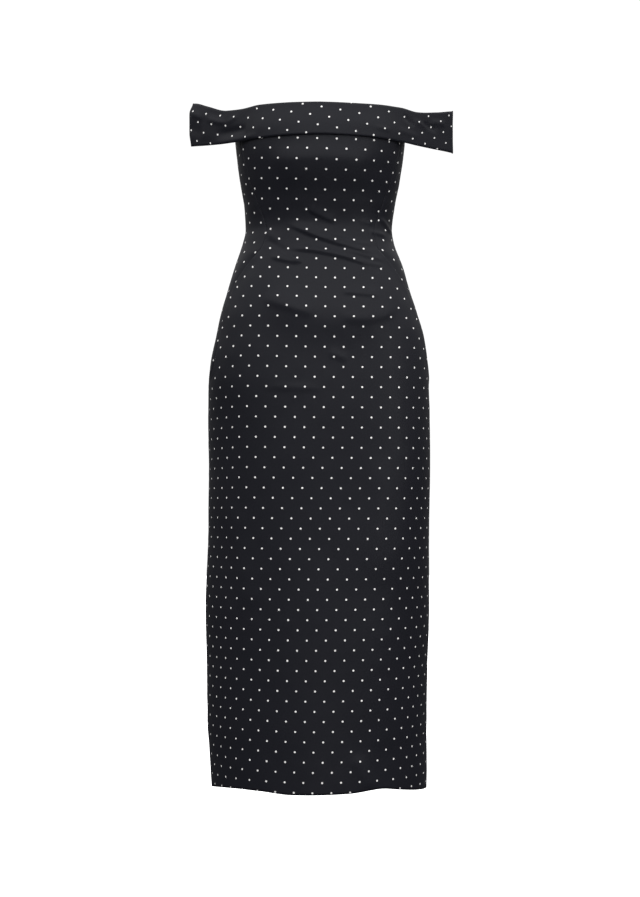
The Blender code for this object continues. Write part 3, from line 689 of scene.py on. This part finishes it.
def make_grid_mesh(name, outer, inner, u, v, materials):
    """A closed shell from two grids of points, with narrow rims, cloth coordinates and a reverse side."""
    rows, columns = outer.shape[:2]
    border = [(0, j) for j in range(columns)]
    border += [(i, columns - 1) for i in range(1, rows)]
    border += [(rows - 1, j) for j in range(columns - 2, -1, -1)]
    border += [(i, 0) for i in range(rows - 2, 0, -1)]
    i, j = np.array(border).T
    beside = (np.clip(i, 1, rows - 2), np.clip(j, 1, columns - 2))
    thickness = np.linalg.norm(outer[i, j] - inner[i, j], axis=-1, keepdims=True)
    away = (outer[i, j] - outer[beside]) + (inner[i, j] - inner[beside])
    away = away / np.maximum(np.linalg.norm(away, axis=-1, keepdims=True), 1e-9)
    rim_points = (outer[i, j] + inner[i, j]) / 2 + away * thickness * RIM_RISE
    points = np.concatenate([outer.reshape(-1, 3), inner.reshape(-1, 3), rim_points])
    count = rows * columns
    grid = np.arange(count).reshape(rows, columns)
    quads = np.stack([grid[:-1, :-1], grid[:-1, 1:], grid[1:, 1:], grid[1:, :-1]], axis=-1).reshape(-1, 4)
    inner_quads = quads[:, ::-1] + count
    ring = grid[i, j]
    middle = 2 * count + np.arange(len(ring))
    ring_next = np.roll(ring, -1)
    middle_next = np.roll(middle, -1)
    rim_outer = np.stack([ring_next, ring, middle, middle_next], axis=-1)
    rim_inner = np.stack([middle_next, middle, ring + count, ring_next + count], axis=-1)
    faces = np.concatenate([quads, rim_outer, rim_inner, inner_quads])
    mesh = bpy.data.meshes.new(name)
    mesh.vertices.add(len(points))
    mesh.vertices.foreach_set("co", points.ravel())
    mesh.loops.add(faces.size)
    mesh.loops.foreach_set("vertex_index", faces.ravel().astype(np.int32))
    mesh.polygons.add(len(faces))
    mesh.polygons.foreach_set("loop_start", np.arange(0, faces.size, 4, dtype=np.int32))
    reverse_from = len(faces) - len(quads)
    kind = np.arange(len(faces))
    mesh.polygons.foreach_set("material_index", (kind >= reverse_from).astype(np.int32))
    mesh.polygons.foreach_set("use_smooth", (kind < len(quads)) | (kind >= reverse_from))
    mesh.update(calc_edges=True)
    flat = np.stack([u, v], axis=-1).reshape(-1, 2)
    flat = np.concatenate([flat, flat, flat[ring]])
    layer = mesh.uv_layers.new(name="Cloth")
    layer.uv.foreach_set("vector", flat[faces.ravel()].astype(np.float32).ravel())
    distance = np.minimum(distance_to_rim(outer), distance_to_rim(outer.transpose(1, 0, 2)).T).ravel()
    distance = np.concatenate([distance, distance, np.zeros(len(ring))])
    worn = mesh.attributes.new("Rim", "FLOAT", "POINT")
    worn.data.foreach_set("value", distance.astype(np.float32))
    for material in materials:
        mesh.materials.append(material)
    mesh.validate()
    return add_object(name, mesh)


def seam_groove(distance):
    """How deep the cloth dips beside a sewn seam."""
    return GROOVE_DEPTH * np.exp(-np.abs(distance) / GROOVE_WIDTH)


def seam_pucker(z, distance, seed):
    """Slight uneven puckers along a sewn seam."""
    waves = soft_noise(z, np.full_like(z, 0.5), PUCKER_LENGTH, 1.0, seed)
    return PUCKER_HEIGHT * waves * np.exp(-np.abs(distance) / PUCKER_REACH)


def body_panel(
    name, first, last, coordinates, materials, shape, lowest=-1.0, wall=CLOTH_WALL, step=COLUMN_STEP
):
    """A panel of the body between two edges, each a function of height."""
    nominal = body_rows()
    middle_place = (first(nominal) + last(nominal)) / 2
    kept = row_height(nominal, middle_place) >= lowest
    nominal = nominal[kept][:, None]
    length = quarter_length(nominal, middle_place[kept][:, None])
    widest = float(np.max(np.abs(last(nominal) - first(nominal)) * length))
    columns = max(4, round(widest / step))
    near_edge = np.array(EDGE_COLUMNS[:-1]) / widest
    inset = EDGE_COLUMNS[-1] / widest
    middle = np.linspace(inset, 1 - inset, columns + 1)
    share = np.concatenate([near_edge, middle, 1 - near_edge[::-1]])[None, :]
    around = first(nominal) + (last(nominal) - first(nominal)) * share
    z = row_height(nominal, around)
    around = first(z) + (last(z) - first(z)) * share
    z = row_height(nominal, around)
    points = outline_points(z, around)
    normals = outline_normals(z, around)
    lift = cloth_lift(points) + shape(z, around)
    above_hem = z - row_height(np.full_like(z, HEM_FRONT), around)
    turned = smooth_step(HEM_TURNING + HEM_STEP, HEM_TURNING - HEM_STEP, above_hem)
    thickness = wall + (HEM_WALL - CLOTH_WALL) * turned
    outer = points + normals * lift[..., None]
    inner = outer - normals * thickness[..., None]
    u, v = coordinates(z, around)
    return make_grid_mesh(name, outer, inner, u, v, materials)


def distance_between(z, around, edge):
    """Distances along the cloth from an edge, positive outside it."""
    return (np.abs(around) - edge) * quarter_length(z, around)


def make_front_panel(materials):
    """The front, from neck to hem in one piece, with its slanted pocket edges."""
    def left(z):
        return -place_after(z, front_edge("left", z), -SEAM_GAP / 2)

    def right(z):
        return place_after(z, front_edge("right", z), -SEAM_GAP / 2)

    def shape(z, around):
        lift = np.zeros_like(z)
        for side, sign in SIGN.items():
            here = np.sign(around) == sign
            distance = distance_between(z, around, front_edge(side, z))
            sewn = 1 - reach_share(POCKET_STEP, z)
            change = -seam_groove(distance) * sewn + seam_pucker(z, distance, FRONT_SEAM_SEED[side])
            change += POCKET_LIP * (1 - sewn) * np.exp(-((distance / POCKET_LIP_WIDTH) ** 2))
            lift += np.where(here, change, 0.0)
        return lift

    return body_panel("dress_front", left, right, front_cloth_coordinates, materials, shape)


def make_side_front(side, materials):
    """The side of the front, from the underarm over the waist to behind the pocket's edge."""
    sign = SIGN[side]
    seed = FRONT_SEAM_SEED[side]

    def inner_edge(z):
        hidden = reach_share(POCKET_BEHIND, z) * POCKET_OVERLAP
        return sign * place_after(z, front_edge(side, z), SEAM_GAP / 2 - hidden)

    outer_edge = edge_beside(side, SIDE_SEAM, lambda z: -SEAM_GAP / 2)

    def shape(z, around):
        edge = front_edge(side, z)
        length = quarter_length(z, sign * edge)
        room = (SIDE_SEAM - edge) * length
        past = (np.abs(around) - edge) * length
        fade = 1 - smooth_step(0.0, np.minimum(POCKET_FADE, 0.8 * room), past)
        mouth = reach_share(POCKET_STEP, z)
        sewn = 1 - mouth
        recess = (CLOTH_WALL + 2 * LAYER_GAP) * mouth * fade
        widened = GAPE_ABOVE + (1 - GAPE_ABOVE) * smooth_step(*GAPE_WIDENS, z)
        gape = POCKET_GAPE[side] * np.exp(-(((past - GAPE_MIDDLE) / GAPE_WIDTH) ** 2)) * mouth * widened
        side_distance = (SIDE_SEAM - np.abs(around)) * length
        lift = -recess - gape - seam_groove(past) * sewn + seam_pucker(z, past, seed) * sewn
        return lift - seam_groove(side_distance) + seam_pucker(z, side_distance, seed + 4)

    def coordinates(z, around):
        across = (np.abs(around) - SIDE_SEAM) * quarter_length(z, around)
        v = front_path(z) - FRONT_DOT_PATH + SIDE_DOT_RISE[side]
        turned_u = across * math.cos(SIDE_DOT_TURN) + v * math.sin(SIDE_DOT_TURN)
        turned_v = v * math.cos(SIDE_DOT_TURN) - across * math.sin(SIDE_DOT_TURN)
        return sign * (turned_u + SIDE_DOT_SHIFT[0]), turned_v + SIDE_DOT_SHIFT[1]

    lowest = FRONT_EDGE[0].z - 0.001
    return body_panel(
        "dress_side_front_" + side, inner_edge, outer_edge, coordinates, materials, shape, lowest
    )


def make_back(side, materials):
    """Half of the back, from neck to hem."""
    sign = SIGN[side]
    side_edge = edge_beside(side, SIDE_SEAM + 1e-6, lambda z: SEAM_GAP / 2)
    centre_edge = edge_beside(side, CENTRE_BACK, lambda z: -zip_half_gap(z))

    def shape(z, around):
        length = quarter_length(z, around)
        side_distance = (np.abs(around) - SIDE_SEAM) * length
        centre_distance = (CENTRE_BACK - np.abs(around)) * length
        lift = -seam_groove(side_distance) + seam_pucker(z, side_distance, BACK_SEAM_SEED[side])
        lift += -seam_groove(centre_distance) + seam_pucker(z, centre_distance, 17)
        dart = np.abs(centre_distance - DART_PLACE - DART_SPREAD * np.clip(z, 0, None))
        dipped = -DART_DEPTH * np.exp(-dart / GROOVE_WIDTH) + 0.8 * seam_pucker(z, dart, 18)
        return lift + dipped * reach_share(DART_REACH, z)

    def coordinates(z, around):
        across = (CENTRE_BACK - np.abs(around)) * quarter_length(z, around)
        return sign * across, front_path(z) - FRONT_DOT_PATH

    return body_panel("dress_back_" + side, side_edge, centre_edge, coordinates, materials, shape)


def zip_half_gap(z):
    """Half the gap at the centre back, wider where the slider's neck passes through."""
    neck = SLIDER_NECK / 2 + SLIDER_NECK_ROOM
    return neck + (SEAM_GAP / 2 - neck) * smooth_step(*SLIDER_REACH, np.abs(z - SLIDER_Z))


def band_edge_heights(side, front, path):
    """The band's top and bottom at a share of its path from the centre to the tip."""
    if front:
        return tuple(table_value(BAND_EDGES, "path", side + edge, path) for edge in ("_top", "_bottom"))
    top = table_value(BAND_EDGES, "path", "back_top", path)
    bottom = table_value(BAND_EDGES, "path", "back_bottom", path)
    near_tip = smooth_step(0.62, 1.0, path)
    tip = BAND_EDGES[-1]
    top = top + (getattr(tip, side + "_top") - tip.back_top) * near_tip
    bottom = bottom + (getattr(tip, side + "_bottom") - tip.back_bottom) * near_tip
    return top, bottom


def band_inner_points(side, front, path, level):
    """Points up the band's inner face at one place along it: on the body, then out to the tip."""
    sign = SIGN[side]
    facing = -1 if front else 1
    tip_x = (LEFT_TIP if side == "left" else RIGHT_TIP) - BAND_WALL
    leaves = FRONT_LEAVES if front else BACK_LEAVES
    top, bottom = band_edge_heights(side, front, path)
    z = bottom + (top - bottom) * level
    room = LAYER_GAP + BAND_STAND_OFF * (1 - level) ** 1.5

    def on_body(share):
        around = sign * leaves * share if front else sign * (CENTRE_BACK - leaves * share)
        around = np.full_like(z, around)
        points = outline_points(z, around)
        away = room + np.maximum(cloth_lift(points), 0.0)
        return (points + outline_normals(z, around) * away[:, None])[:, :2]

    if path <= LEAVING_SHARE:
        return np.column_stack([on_body(path / LEAVING_SHARE), z])
    start = on_body(1.0)
    heading = unit(start - on_body(0.96))
    inset = np.zeros_like(level)
    if side == "left":
        low, high = LEFT_TIP_INSET
        inset = low * smooth_step(0.30, 0.0, level) + high * smooth_step(0.70, 1.0, level) ** 2
    arc_centre = np.column_stack([sign * (tip_x - TIP_RADIUS - inset), np.zeros_like(level)])
    outward = np.array([sign * math.cos(TIP_ANGLE), facing * math.sin(TIP_ANGLE)])
    arc_start = arc_centre + TIP_RADIUS * outward
    arc_heading = np.array([sign * abs(outward[1]), -facing * abs(outward[0])])
    reach = np.linalg.norm(arc_start - start, axis=1, keepdims=True)
    if path <= 1 - TIP_ARC_SHARE:
        t = (path - LEAVING_SHARE) / (1 - TIP_ARC_SHARE - LEAVING_SHARE)
        b = start + heading * reach * SLEEVE_BEND[0]
        c = arc_start - arc_heading * reach * SLEEVE_BEND[1]
        curve = start * (1 - t) ** 3 + 3 * b * t * (1 - t) ** 2 + 3 * c * t * t * (1 - t) + arc_start * t ** 3
        return np.column_stack([curve, z])
    angle = TIP_ANGLE * (1 - (path - (1 - TIP_ARC_SHARE)) / TIP_ARC_SHARE)
    x = arc_centre[:, 0] + sign * TIP_RADIUS * math.cos(angle)
    y = facing * TIP_RADIUS * math.sin(angle)
    return np.column_stack([x, np.full_like(z, y), z])


def band_normals(side, front, path, level):
    """Level directions that face away from the body there."""
    if path == 0:
        return np.tile([0.0, -1.0 if front else 1.0, 0.0], (len(level), 1))
    if path == 1:
        return np.tile([float(SIGN[side]), 0.0, 0.0], (len(level), 1))
    step = 0.004
    before = band_inner_points(side, front, max(path - step, 0.0), level)
    after = band_inner_points(side, front, min(path + step, 1.0), level)
    along = unit((after - before)[:, :2])
    turn = 1 if (side == "right") == front else -1
    return np.column_stack([turn * along[:, 1], -turn * along[:, 0], np.zeros(len(level))])


def crease_lift(creases, walked, height):
    """How far creases lift the band's cloth: walked is the distance from the centre, signed."""
    lift = np.zeros_like(walked)
    for crease in creases:
        start = np.array([crease.start_path * BAND_LENGTH, crease.start_level * BAND_HEIGHT])
        end = np.array([crease.end_path * BAND_LENGTH, crease.end_level * BAND_HEIGHT])
        run = end - start
        length = np.linalg.norm(run)
        run = run / length
        dx = walked - start[0]
        dz = height - start[1]
        share = np.clip((dx * run[0] + dz * run[1]) / length, 0, 1)
        across = dz * run[0] - dx * run[1]
        ends = smooth_step(0, CREASE_TAPER, share) * smooth_step(1, 1 - CREASE_TAPER, share)
        lift += crease.raised * ends * np.exp(-((across / crease.width) ** 2))
    return lift


def station_paths():
    """Shares of the path where the band has a section, closer together at the tip."""
    straight = np.linspace(0, 1 - TIP_ARC_SHARE, BAND_STATIONS + 1)
    arc = np.linspace(1 - TIP_ARC_SHARE, 1, BAND_TIP_STATIONS + 1)[1:]
    return np.concatenate([straight, arc])


def band_grids(stations, front, creases):
    """Outer and inner grids of the band, one column for each (side, path) station."""
    level = np.linspace(0, 1, BAND_LEVELS)
    inner = []
    normals = []
    signed = []
    for side, path in stations:
        inner.append(band_inner_points(side, front, path, level))
        normals.append(band_normals(side, front, path, level))
        signed.append(SIGN[side] * path)
    normals = np.stack(normals, axis=1)
    shift = np.array([0.0, -SEAM_GAP / 2 if front else SEAM_GAP / 2, 0.0])
    inner = np.stack(inner, axis=1) + shift
    middle = inner[BAND_LEVELS // 2]
    steps = np.linalg.norm(np.diff(middle, axis=0), axis=1)
    walked = np.concatenate([[0], np.cumsum(steps)])
    signed = np.array(signed)
    centre = int(np.argmin(np.abs(signed)))
    walked = np.tile(walked - walked[centre], (BAND_LEVELS, 1))
    if not front:
        walked = -np.abs(walked)
    height = np.tile(level[:, None], (1, len(signed))) * BAND_HEIGHT
    path = np.tile(signed, (BAND_LEVELS, 1))
    along = path * BAND_LENGTH
    uneven = BAND_UNEVENNESS
    lift = crease_lift(creases, along, height)
    lift = lift + uneven.height * soft_noise(along, height, uneven.wide, uneven.tall, uneven.seed)
    lift = lift - GROOVE_DEPTH * np.exp(-(1 - np.abs(path)) * BAND_LENGTH / TIP_GROOVE_WIDTH)
    near_body = np.abs(path) < NEAR_BODY
    inner = inner + normals * np.where(near_body, np.maximum(lift, -0.0001), lift)[..., None]
    outer = inner + normals * BAND_WALL
    return outer, inner, walked


def summed_from_centre(rates, walked):
    """The rates added up along the walk, from its centre."""
    steps = (rates[1:] + rates[:-1]) / 2 * np.diff(walked)
    total = np.concatenate([[0], np.cumsum(steps)])
    return total - np.interp(0.0, walked, total)


def make_band_front(materials):
    """The band across the front, from tip to tip."""
    paths = station_paths()
    stations = [("left", path) for path in paths[::-1]] + [("right", path) for path in paths[1:]]
    outer, inner, walked = band_grids(stations, True, FRONT_CREASES)
    along = walked[0] / np.abs(walked).max()
    keys = [grain.path for grain in BAND_GRAIN]
    slope, lean, stretch = (
        np.interp(along, keys, [getattr(grain, column) for grain in BAND_GRAIN])
        for column in BandGrain._fields[1:]
    )
    rise = summed_from_centre(np.tan(np.radians(slope)), walked[0])
    height = outer[..., 2] - BAND_MIDDLE
    u = summed_from_centre(stretch, walked[0])[None, :] + height * lean[None, :] + BAND_DOT[0]
    v = (rise[None, :] + height) * BAND_DOT_RISE + BAND_DOT[1]
    return make_grid_mesh("band_front_cloth", outer, inner, u, v, materials)


def make_band_back(side, materials):
    """Half of the band behind, from the sleeve's tip to the centre back."""
    sign = SIGN[side]
    paths = station_paths()
    stations = [(side, path) for path in paths]
    if side == "right":
        stations = stations[::-1]
    outer, inner, walked = band_grids(stations, False, BACK_CREASES)
    near_centre = np.array([path for _, path in stations]) < 0.02
    for grid in (outer, inner):
        grid[:, near_centre, 0] += sign * zip_half_gap(grid[:, near_centre, 2])
    v = outer[..., 2] - BAND_BACK_DOT
    return make_grid_mesh("band_back_cloth_" + side, outer, inner, walked, v, materials)


def make_zip_tape(side, materials):
    """The zip's woven tape on the inside of the back's centre edge."""
    sign = SIGN[side]
    far_edge = edge_beside(side, CENTRE_BACK, lambda z: -TAPE_WIDTH)
    centre_edge = edge_beside(side, CENTRE_BACK, lambda z: -zip_half_gap(z))

    def shape(z, around):
        return np.full_like(z, -(CLOTH_WALL + 2 * LAYER_GAP))

    def coordinates(z, around):
        return sign * (CENTRE_BACK - np.abs(around)) * quarter_length(z, around), z

    name = "zip_tape_cloth_" + side
    return body_panel(
        name, far_edge, centre_edge, coordinates, materials, shape, ZIP_BOTTOM, TAPE_WALL, TAPE_STEP
    )


def make_zip_coil(side, material):
    """The zip's coil of interlocking teeth, along the inner face of its tape."""
    sign = SIGN[side]
    offset = 0.0 if side == "left" else COIL_PITCH / 2
    heights = np.arange(ZIP_BOTTOM + 0.004 + offset, COIL_TOP, COIL_PITCH)
    around = sign * (CENTRE_BACK - COIL_OFFSET / quarter_length(heights, np.full_like(heights, CENTRE_BACK)))
    inset = CLOTH_WALL + 2 * LAYER_GAP + TAPE_WALL + COIL_SIZE.deep / 2
    points = outline_points(heights, around)
    centres = points - outline_normals(heights, around) * (inset - cloth_lift(points))[:, None]
    signs = np.array([[x, y, z] for x in (-1, 1) for y in (-1, 1) for z in (-1, 1)])
    corners = signs * np.array(COIL_SIZE) / 2
    box = np.array([[0, 1, 3, 2], [4, 6, 7, 5], [0, 4, 5, 1], [2, 3, 7, 6], [0, 2, 6, 4], [1, 5, 7, 3]])
    vertices = (centres[:, None, :] + corners[None, :, :]).reshape(-1, 3)
    faces = (box[None, :, :] + 8 * np.arange(len(centres))[:, None, None]).reshape(-1, 4)
    mesh = bpy.data.meshes.new("zip_coil_" + side)
    mesh.from_pydata(vertices.tolist(), [], faces.tolist())
    mesh.materials.append(material)
    return add_object("zip_coil_" + side, mesh)


def new_material(name):
    """A node material, with its nodes, links and shader."""
    material = bpy.data.materials.new(name)
    material.use_nodes = True
    nodes = material.node_tree.nodes
    return material, nodes, material.node_tree.links, nodes["Principled BSDF"]


def feed(node, links, inputs):
    """Sets a node's inputs, each from another node's socket or to a plain value."""
    for key, value in inputs.items():
        if isinstance(value, bpy.types.NodeSocket):
            links.new(value, node.inputs[key])
        else:
            node.inputs[key].default_value = value


def math_node(nodes, links, operation, *values):
    """The result of a Math node fed by sockets or numbers."""
    node = nodes.new("ShaderNodeMath")
    node.operation = operation
    feed(node, links, dict(enumerate(values)))
    return node.outputs[0]


def mix_colours(nodes, links, factor, first, second):
    """A mix of two colours or colour sockets."""
    node = nodes.new("ShaderNodeMix")
    node.data_type = "RGBA"
    feed(node, links, {0: factor, 6: first, 7: second})
    return node.outputs[2]


def smooth_range(nodes, links, value, start, end, low, high):
    """A socket's value taken smoothly from one range to another."""
    node = nodes.new("ShaderNodeMapRange")
    node.interpolation_type = "SMOOTHSTEP"
    feed(node, links, {"Value": value, "From Min": start, "From Max": end, "To Min": low, "To Max": high})
    return node.outputs["Result"]


def noise(nodes, links, scale, detail):
    """Soft noise over the object's own coordinates."""
    place = nodes.new("ShaderNodeTexCoord")
    node = nodes.new("ShaderNodeTexNoise")
    feed(node, links, {"Vector": place.outputs["Object"], "Scale": scale, "Detail": detail})
    return node.outputs["Fac"]


def raise_texture(nodes, links, shader, height, strength, distance):
    """Bumps the shader's surface by a texture."""
    node = nodes.new("ShaderNodeBump")
    feed(node, links, {"Height": height, "Strength": strength, "Distance": distance})
    links.new(node.outputs[0], shader.inputs["Normal"])


def dot_mask(nodes, links):
    """1 on the dots of a lattice whose every other row is set over by half a pitch."""
    place = nodes.new("ShaderNodeUVMap")
    place.uv_map = "Cloth"
    split = nodes.new("ShaderNodeSeparateXYZ")
    links.new(place.outputs[0], split.inputs[0])
    distances = []
    for offset in (0.5, 0.0):
        parts = []
        for axis, pitch in ((0, DOT_PITCH), (1, DOT_ROW_PAIR)):
            cell = math_node(nodes, links, "DIVIDE", split.outputs[axis], pitch)
            cell = math_node(nodes, links, "ADD", cell, offset)
            cell = math_node(nodes, links, "FRACT", cell)
            cell = math_node(nodes, links, "SUBTRACT", cell, 0.5)
            cell = math_node(nodes, links, "MULTIPLY", cell, pitch)
            parts.append(math_node(nodes, links, "MULTIPLY", cell, cell))
        total = math_node(nodes, links, "ADD", *parts)
        distances.append(math_node(nodes, links, "SQRT", total))
    nearest = math_node(nodes, links, "MINIMUM", *distances)
    outside, inside = DOT_EDGE
    return smooth_range(nodes, links, nearest, DOT_RADIUS + outside, DOT_RADIUS + inside, 0.0, 1.0)


def make_cloth_material(name, dot_strength):
    """The near-black satin-faced cloth with its pin dots, a little rubbed along its edges."""
    material, nodes, links, shader = new_material(name)
    cloud = noise(nodes, links, 9.0, 3.0)
    ground = mix_colours(nodes, links, cloud, CLOTH_DARK, CLOTH_LIGHT)
    rim = nodes.new("ShaderNodeAttribute")
    rim.attribute_name = "Rim"
    worn = smooth_range(nodes, links, rim.outputs["Fac"], RUB_REACH, 0.0, 0.0, RUB_SHARE)
    rubbed = math_node(nodes, links, "MULTIPLY", worn, cloud)
    ground = mix_colours(nodes, links, rubbed, ground, CLOTH_WORN)
    strength = math_node(nodes, links, "MULTIPLY", dot_mask(nodes, links), dot_strength)
    roughness = math_node(nodes, links, "MULTIPLY", cloud, 0.10)
    feed(shader, links, {
        "Base Color": mix_colours(nodes, links, strength, ground, DOT_COLOUR),
        "Roughness": math_node(nodes, links, "ADD", roughness, 0.42),
        "Specular IOR Level": 0.14,
        "Sheen Weight": 0.004,
        "Sheen Roughness": 0.35,
    })
    weave = noise(nodes, links, 1400.0, 1.0)
    raise_texture(nodes, links, shader, weave, 0.25, 0.0001)
    return material


def make_tape_material():
    """Black woven zip tape."""
    material, nodes, links, shader = new_material("zip_tape_weave")
    place = nodes.new("ShaderNodeTexCoord")
    ribs = nodes.new("ShaderNodeTexWave")
    ribs.bands_direction = "Z"
    feed(ribs, links, {"Vector": place.outputs["Object"], "Scale": 420.0})
    colour = mix_colours(nodes, links, ribs.outputs["Fac"], TAPE_DARK, TAPE_LIGHT)
    feed(shader, links, {"Base Color": colour, "Roughness": 0.8})
    raise_texture(nodes, links, shader, ribs.outputs["Fac"], 0.4, 0.0002)
    return material


def make_metal_material():
    """Black enamel on the slider and pull."""
    material, nodes, links, shader = new_material("zip_enamel")
    wear = noise(nodes, links, 900.0, 2.0)
    roughness = math_node(nodes, links, "MULTIPLY", wear, 0.15)
    feed(shader, links, {
        "Base Color": mix_colours(nodes, links, wear, ENAMEL_DARK, ENAMEL_LIGHT),
        "Roughness": math_node(nodes, links, "ADD", roughness, 0.22),
        "Metallic": 0.4,
        "Coat Weight": 0.4,
    })
    return material


def make_camera():
    """A level camera in front of the dress."""
    data = bpy.data.cameras.new("camera")
    data.sensor_fit = "VERTICAL"
    data.sensor_height = 36.0
    data.lens = FOCAL_PIXELS / PICTURE_HEIGHT * data.sensor_height
    data.shift_y = (HORIZON_PIXEL - PICTURE_HEIGHT / 2) / PICTURE_HEIGHT
    camera = add_object("camera", data)
    camera.location = (0.0, -CAMERA_DISTANCE, CAMERA_HEIGHT)
    camera.rotation_euler = (math.pi / 2, 0.0, 0.0)
    bpy.context.scene.camera = camera


def add_light(light):
    """A soft rectangular light that faces the waist."""
    data = bpy.data.lights.new(light.name, "AREA")
    data.shape = "RECTANGLE"
    data.size = light.wide
    data.size_y = light.tall
    data.energy = light.power
    lamp = add_object(light.name, data)
    lamp.location = light.place
    x, y, z = unit(0.0 - np.array(light.place))
    lamp.rotation_euler = (math.acos(-z), 0.0, math.atan2(x, -y) + math.pi)
    lamp.visible_camera = False


def make_world():
    """A white surround, brighter to the camera than as a light, and dimmer below and behind."""
    world = bpy.data.worlds.new("studio")
    bpy.context.scene.world = world
    world.use_nodes = True
    nodes = world.node_tree.nodes
    links = world.node_tree.links
    seen = nodes["Background"]
    feed(seen, links, {"Color": WHITE, "Strength": SKY_SEEN})
    direction = nodes.new("ShaderNodeTexCoord")
    split = nodes.new("ShaderNodeSeparateXYZ")
    links.new(direction.outputs["Generated"], split.inputs[0])
    rise = smooth_range(nodes, links, split.outputs[2], *SKY_RISE, SKY_BELOW, SKY_ABOVE)
    behind = smooth_range(nodes, links, split.outputs[1], *SKY_TURN, 1.0, SKY_BEHIND)
    lit = nodes.new("ShaderNodeBackground")
    feed(lit, links, {"Color": WHITE, "Strength": math_node(nodes, links, "MULTIPLY", rise, behind)})
    path = nodes.new("ShaderNodeLightPath")
    mix = nodes.new("ShaderNodeMixShader")
    feed(mix, links, {0: path.outputs["Is Camera Ray"], 1: lit.outputs[0], 2: seen.outputs[0]})
    links.new(mix.outputs[0], nodes["World Output"].inputs["Surface"])


def make_floor():
    """A plain pale floor, well below the hem."""
    material, _, links, shader = new_material("floor_paint")
    feed(shader, links, {
        "Base Color": (0.9, 0.9, 0.9, 1),
        "Roughness": 0.9,
        "Emission Color": WHITE,
        "Emission Strength": 0.95,
    })
    mesh = bpy.data.meshes.new("floor")
    corners = [(x * FLOOR_HALF, y * FLOOR_HALF, 0) for x, y in ((-1, -1), (1, -1), (1, 1), (-1, 1))]
    mesh.from_pydata(corners, [], [(0, 1, 2, 3)])
    mesh.materials.append(material)
    floor = add_object("floor", mesh)
    floor.location = (0.0, 0.0, FLOOR_HEIGHT)
    floor.visible_diffuse = False
    floor.visible_glossy = False


def finish_cloth(thing, node):
    """Stands a cloth piece in for its node and attaches it to the dress's body."""
    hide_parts(node)
    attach(thing, "dress")


def main():
    """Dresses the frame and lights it."""
    scene = bpy.context.scene
    scene.view_settings.view_transform = "Standard"
    make_camera()
    make_world()
    make_floor()
    for light in LIGHTS:
        add_light(light)
    face = make_cloth_material("dress_satin", 1.0)
    reverse = make_cloth_material("dress_reverse", 0.15)
    cloth = (face, reverse)
    front = make_front_panel(cloth)
    finish_cloth(front, "front_panel")
    for side in ("left", "right"):
        finish_cloth(make_side_front(side, cloth), "side_front_" + side)
        finish_cloth(make_back(side, cloth), "back_" + side)
        finish_cloth(make_band_back(side, cloth), "band_back_" + side)
    finish_cloth(make_band_front(cloth), "band_front")
    tape = make_tape_material()
    for side in ("left", "right"):
        piece = make_zip_tape(side, (tape, tape))
        finish_cloth(piece, "zip_tape_" + side)
        coil = make_zip_coil(side, tape)
        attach(coil, "dress")
    metal = make_metal_material()
    for node in ("zip_slider", "zip_pull"):
        for material_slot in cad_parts[node].material_slots:
            material_slot.material = metal


main()
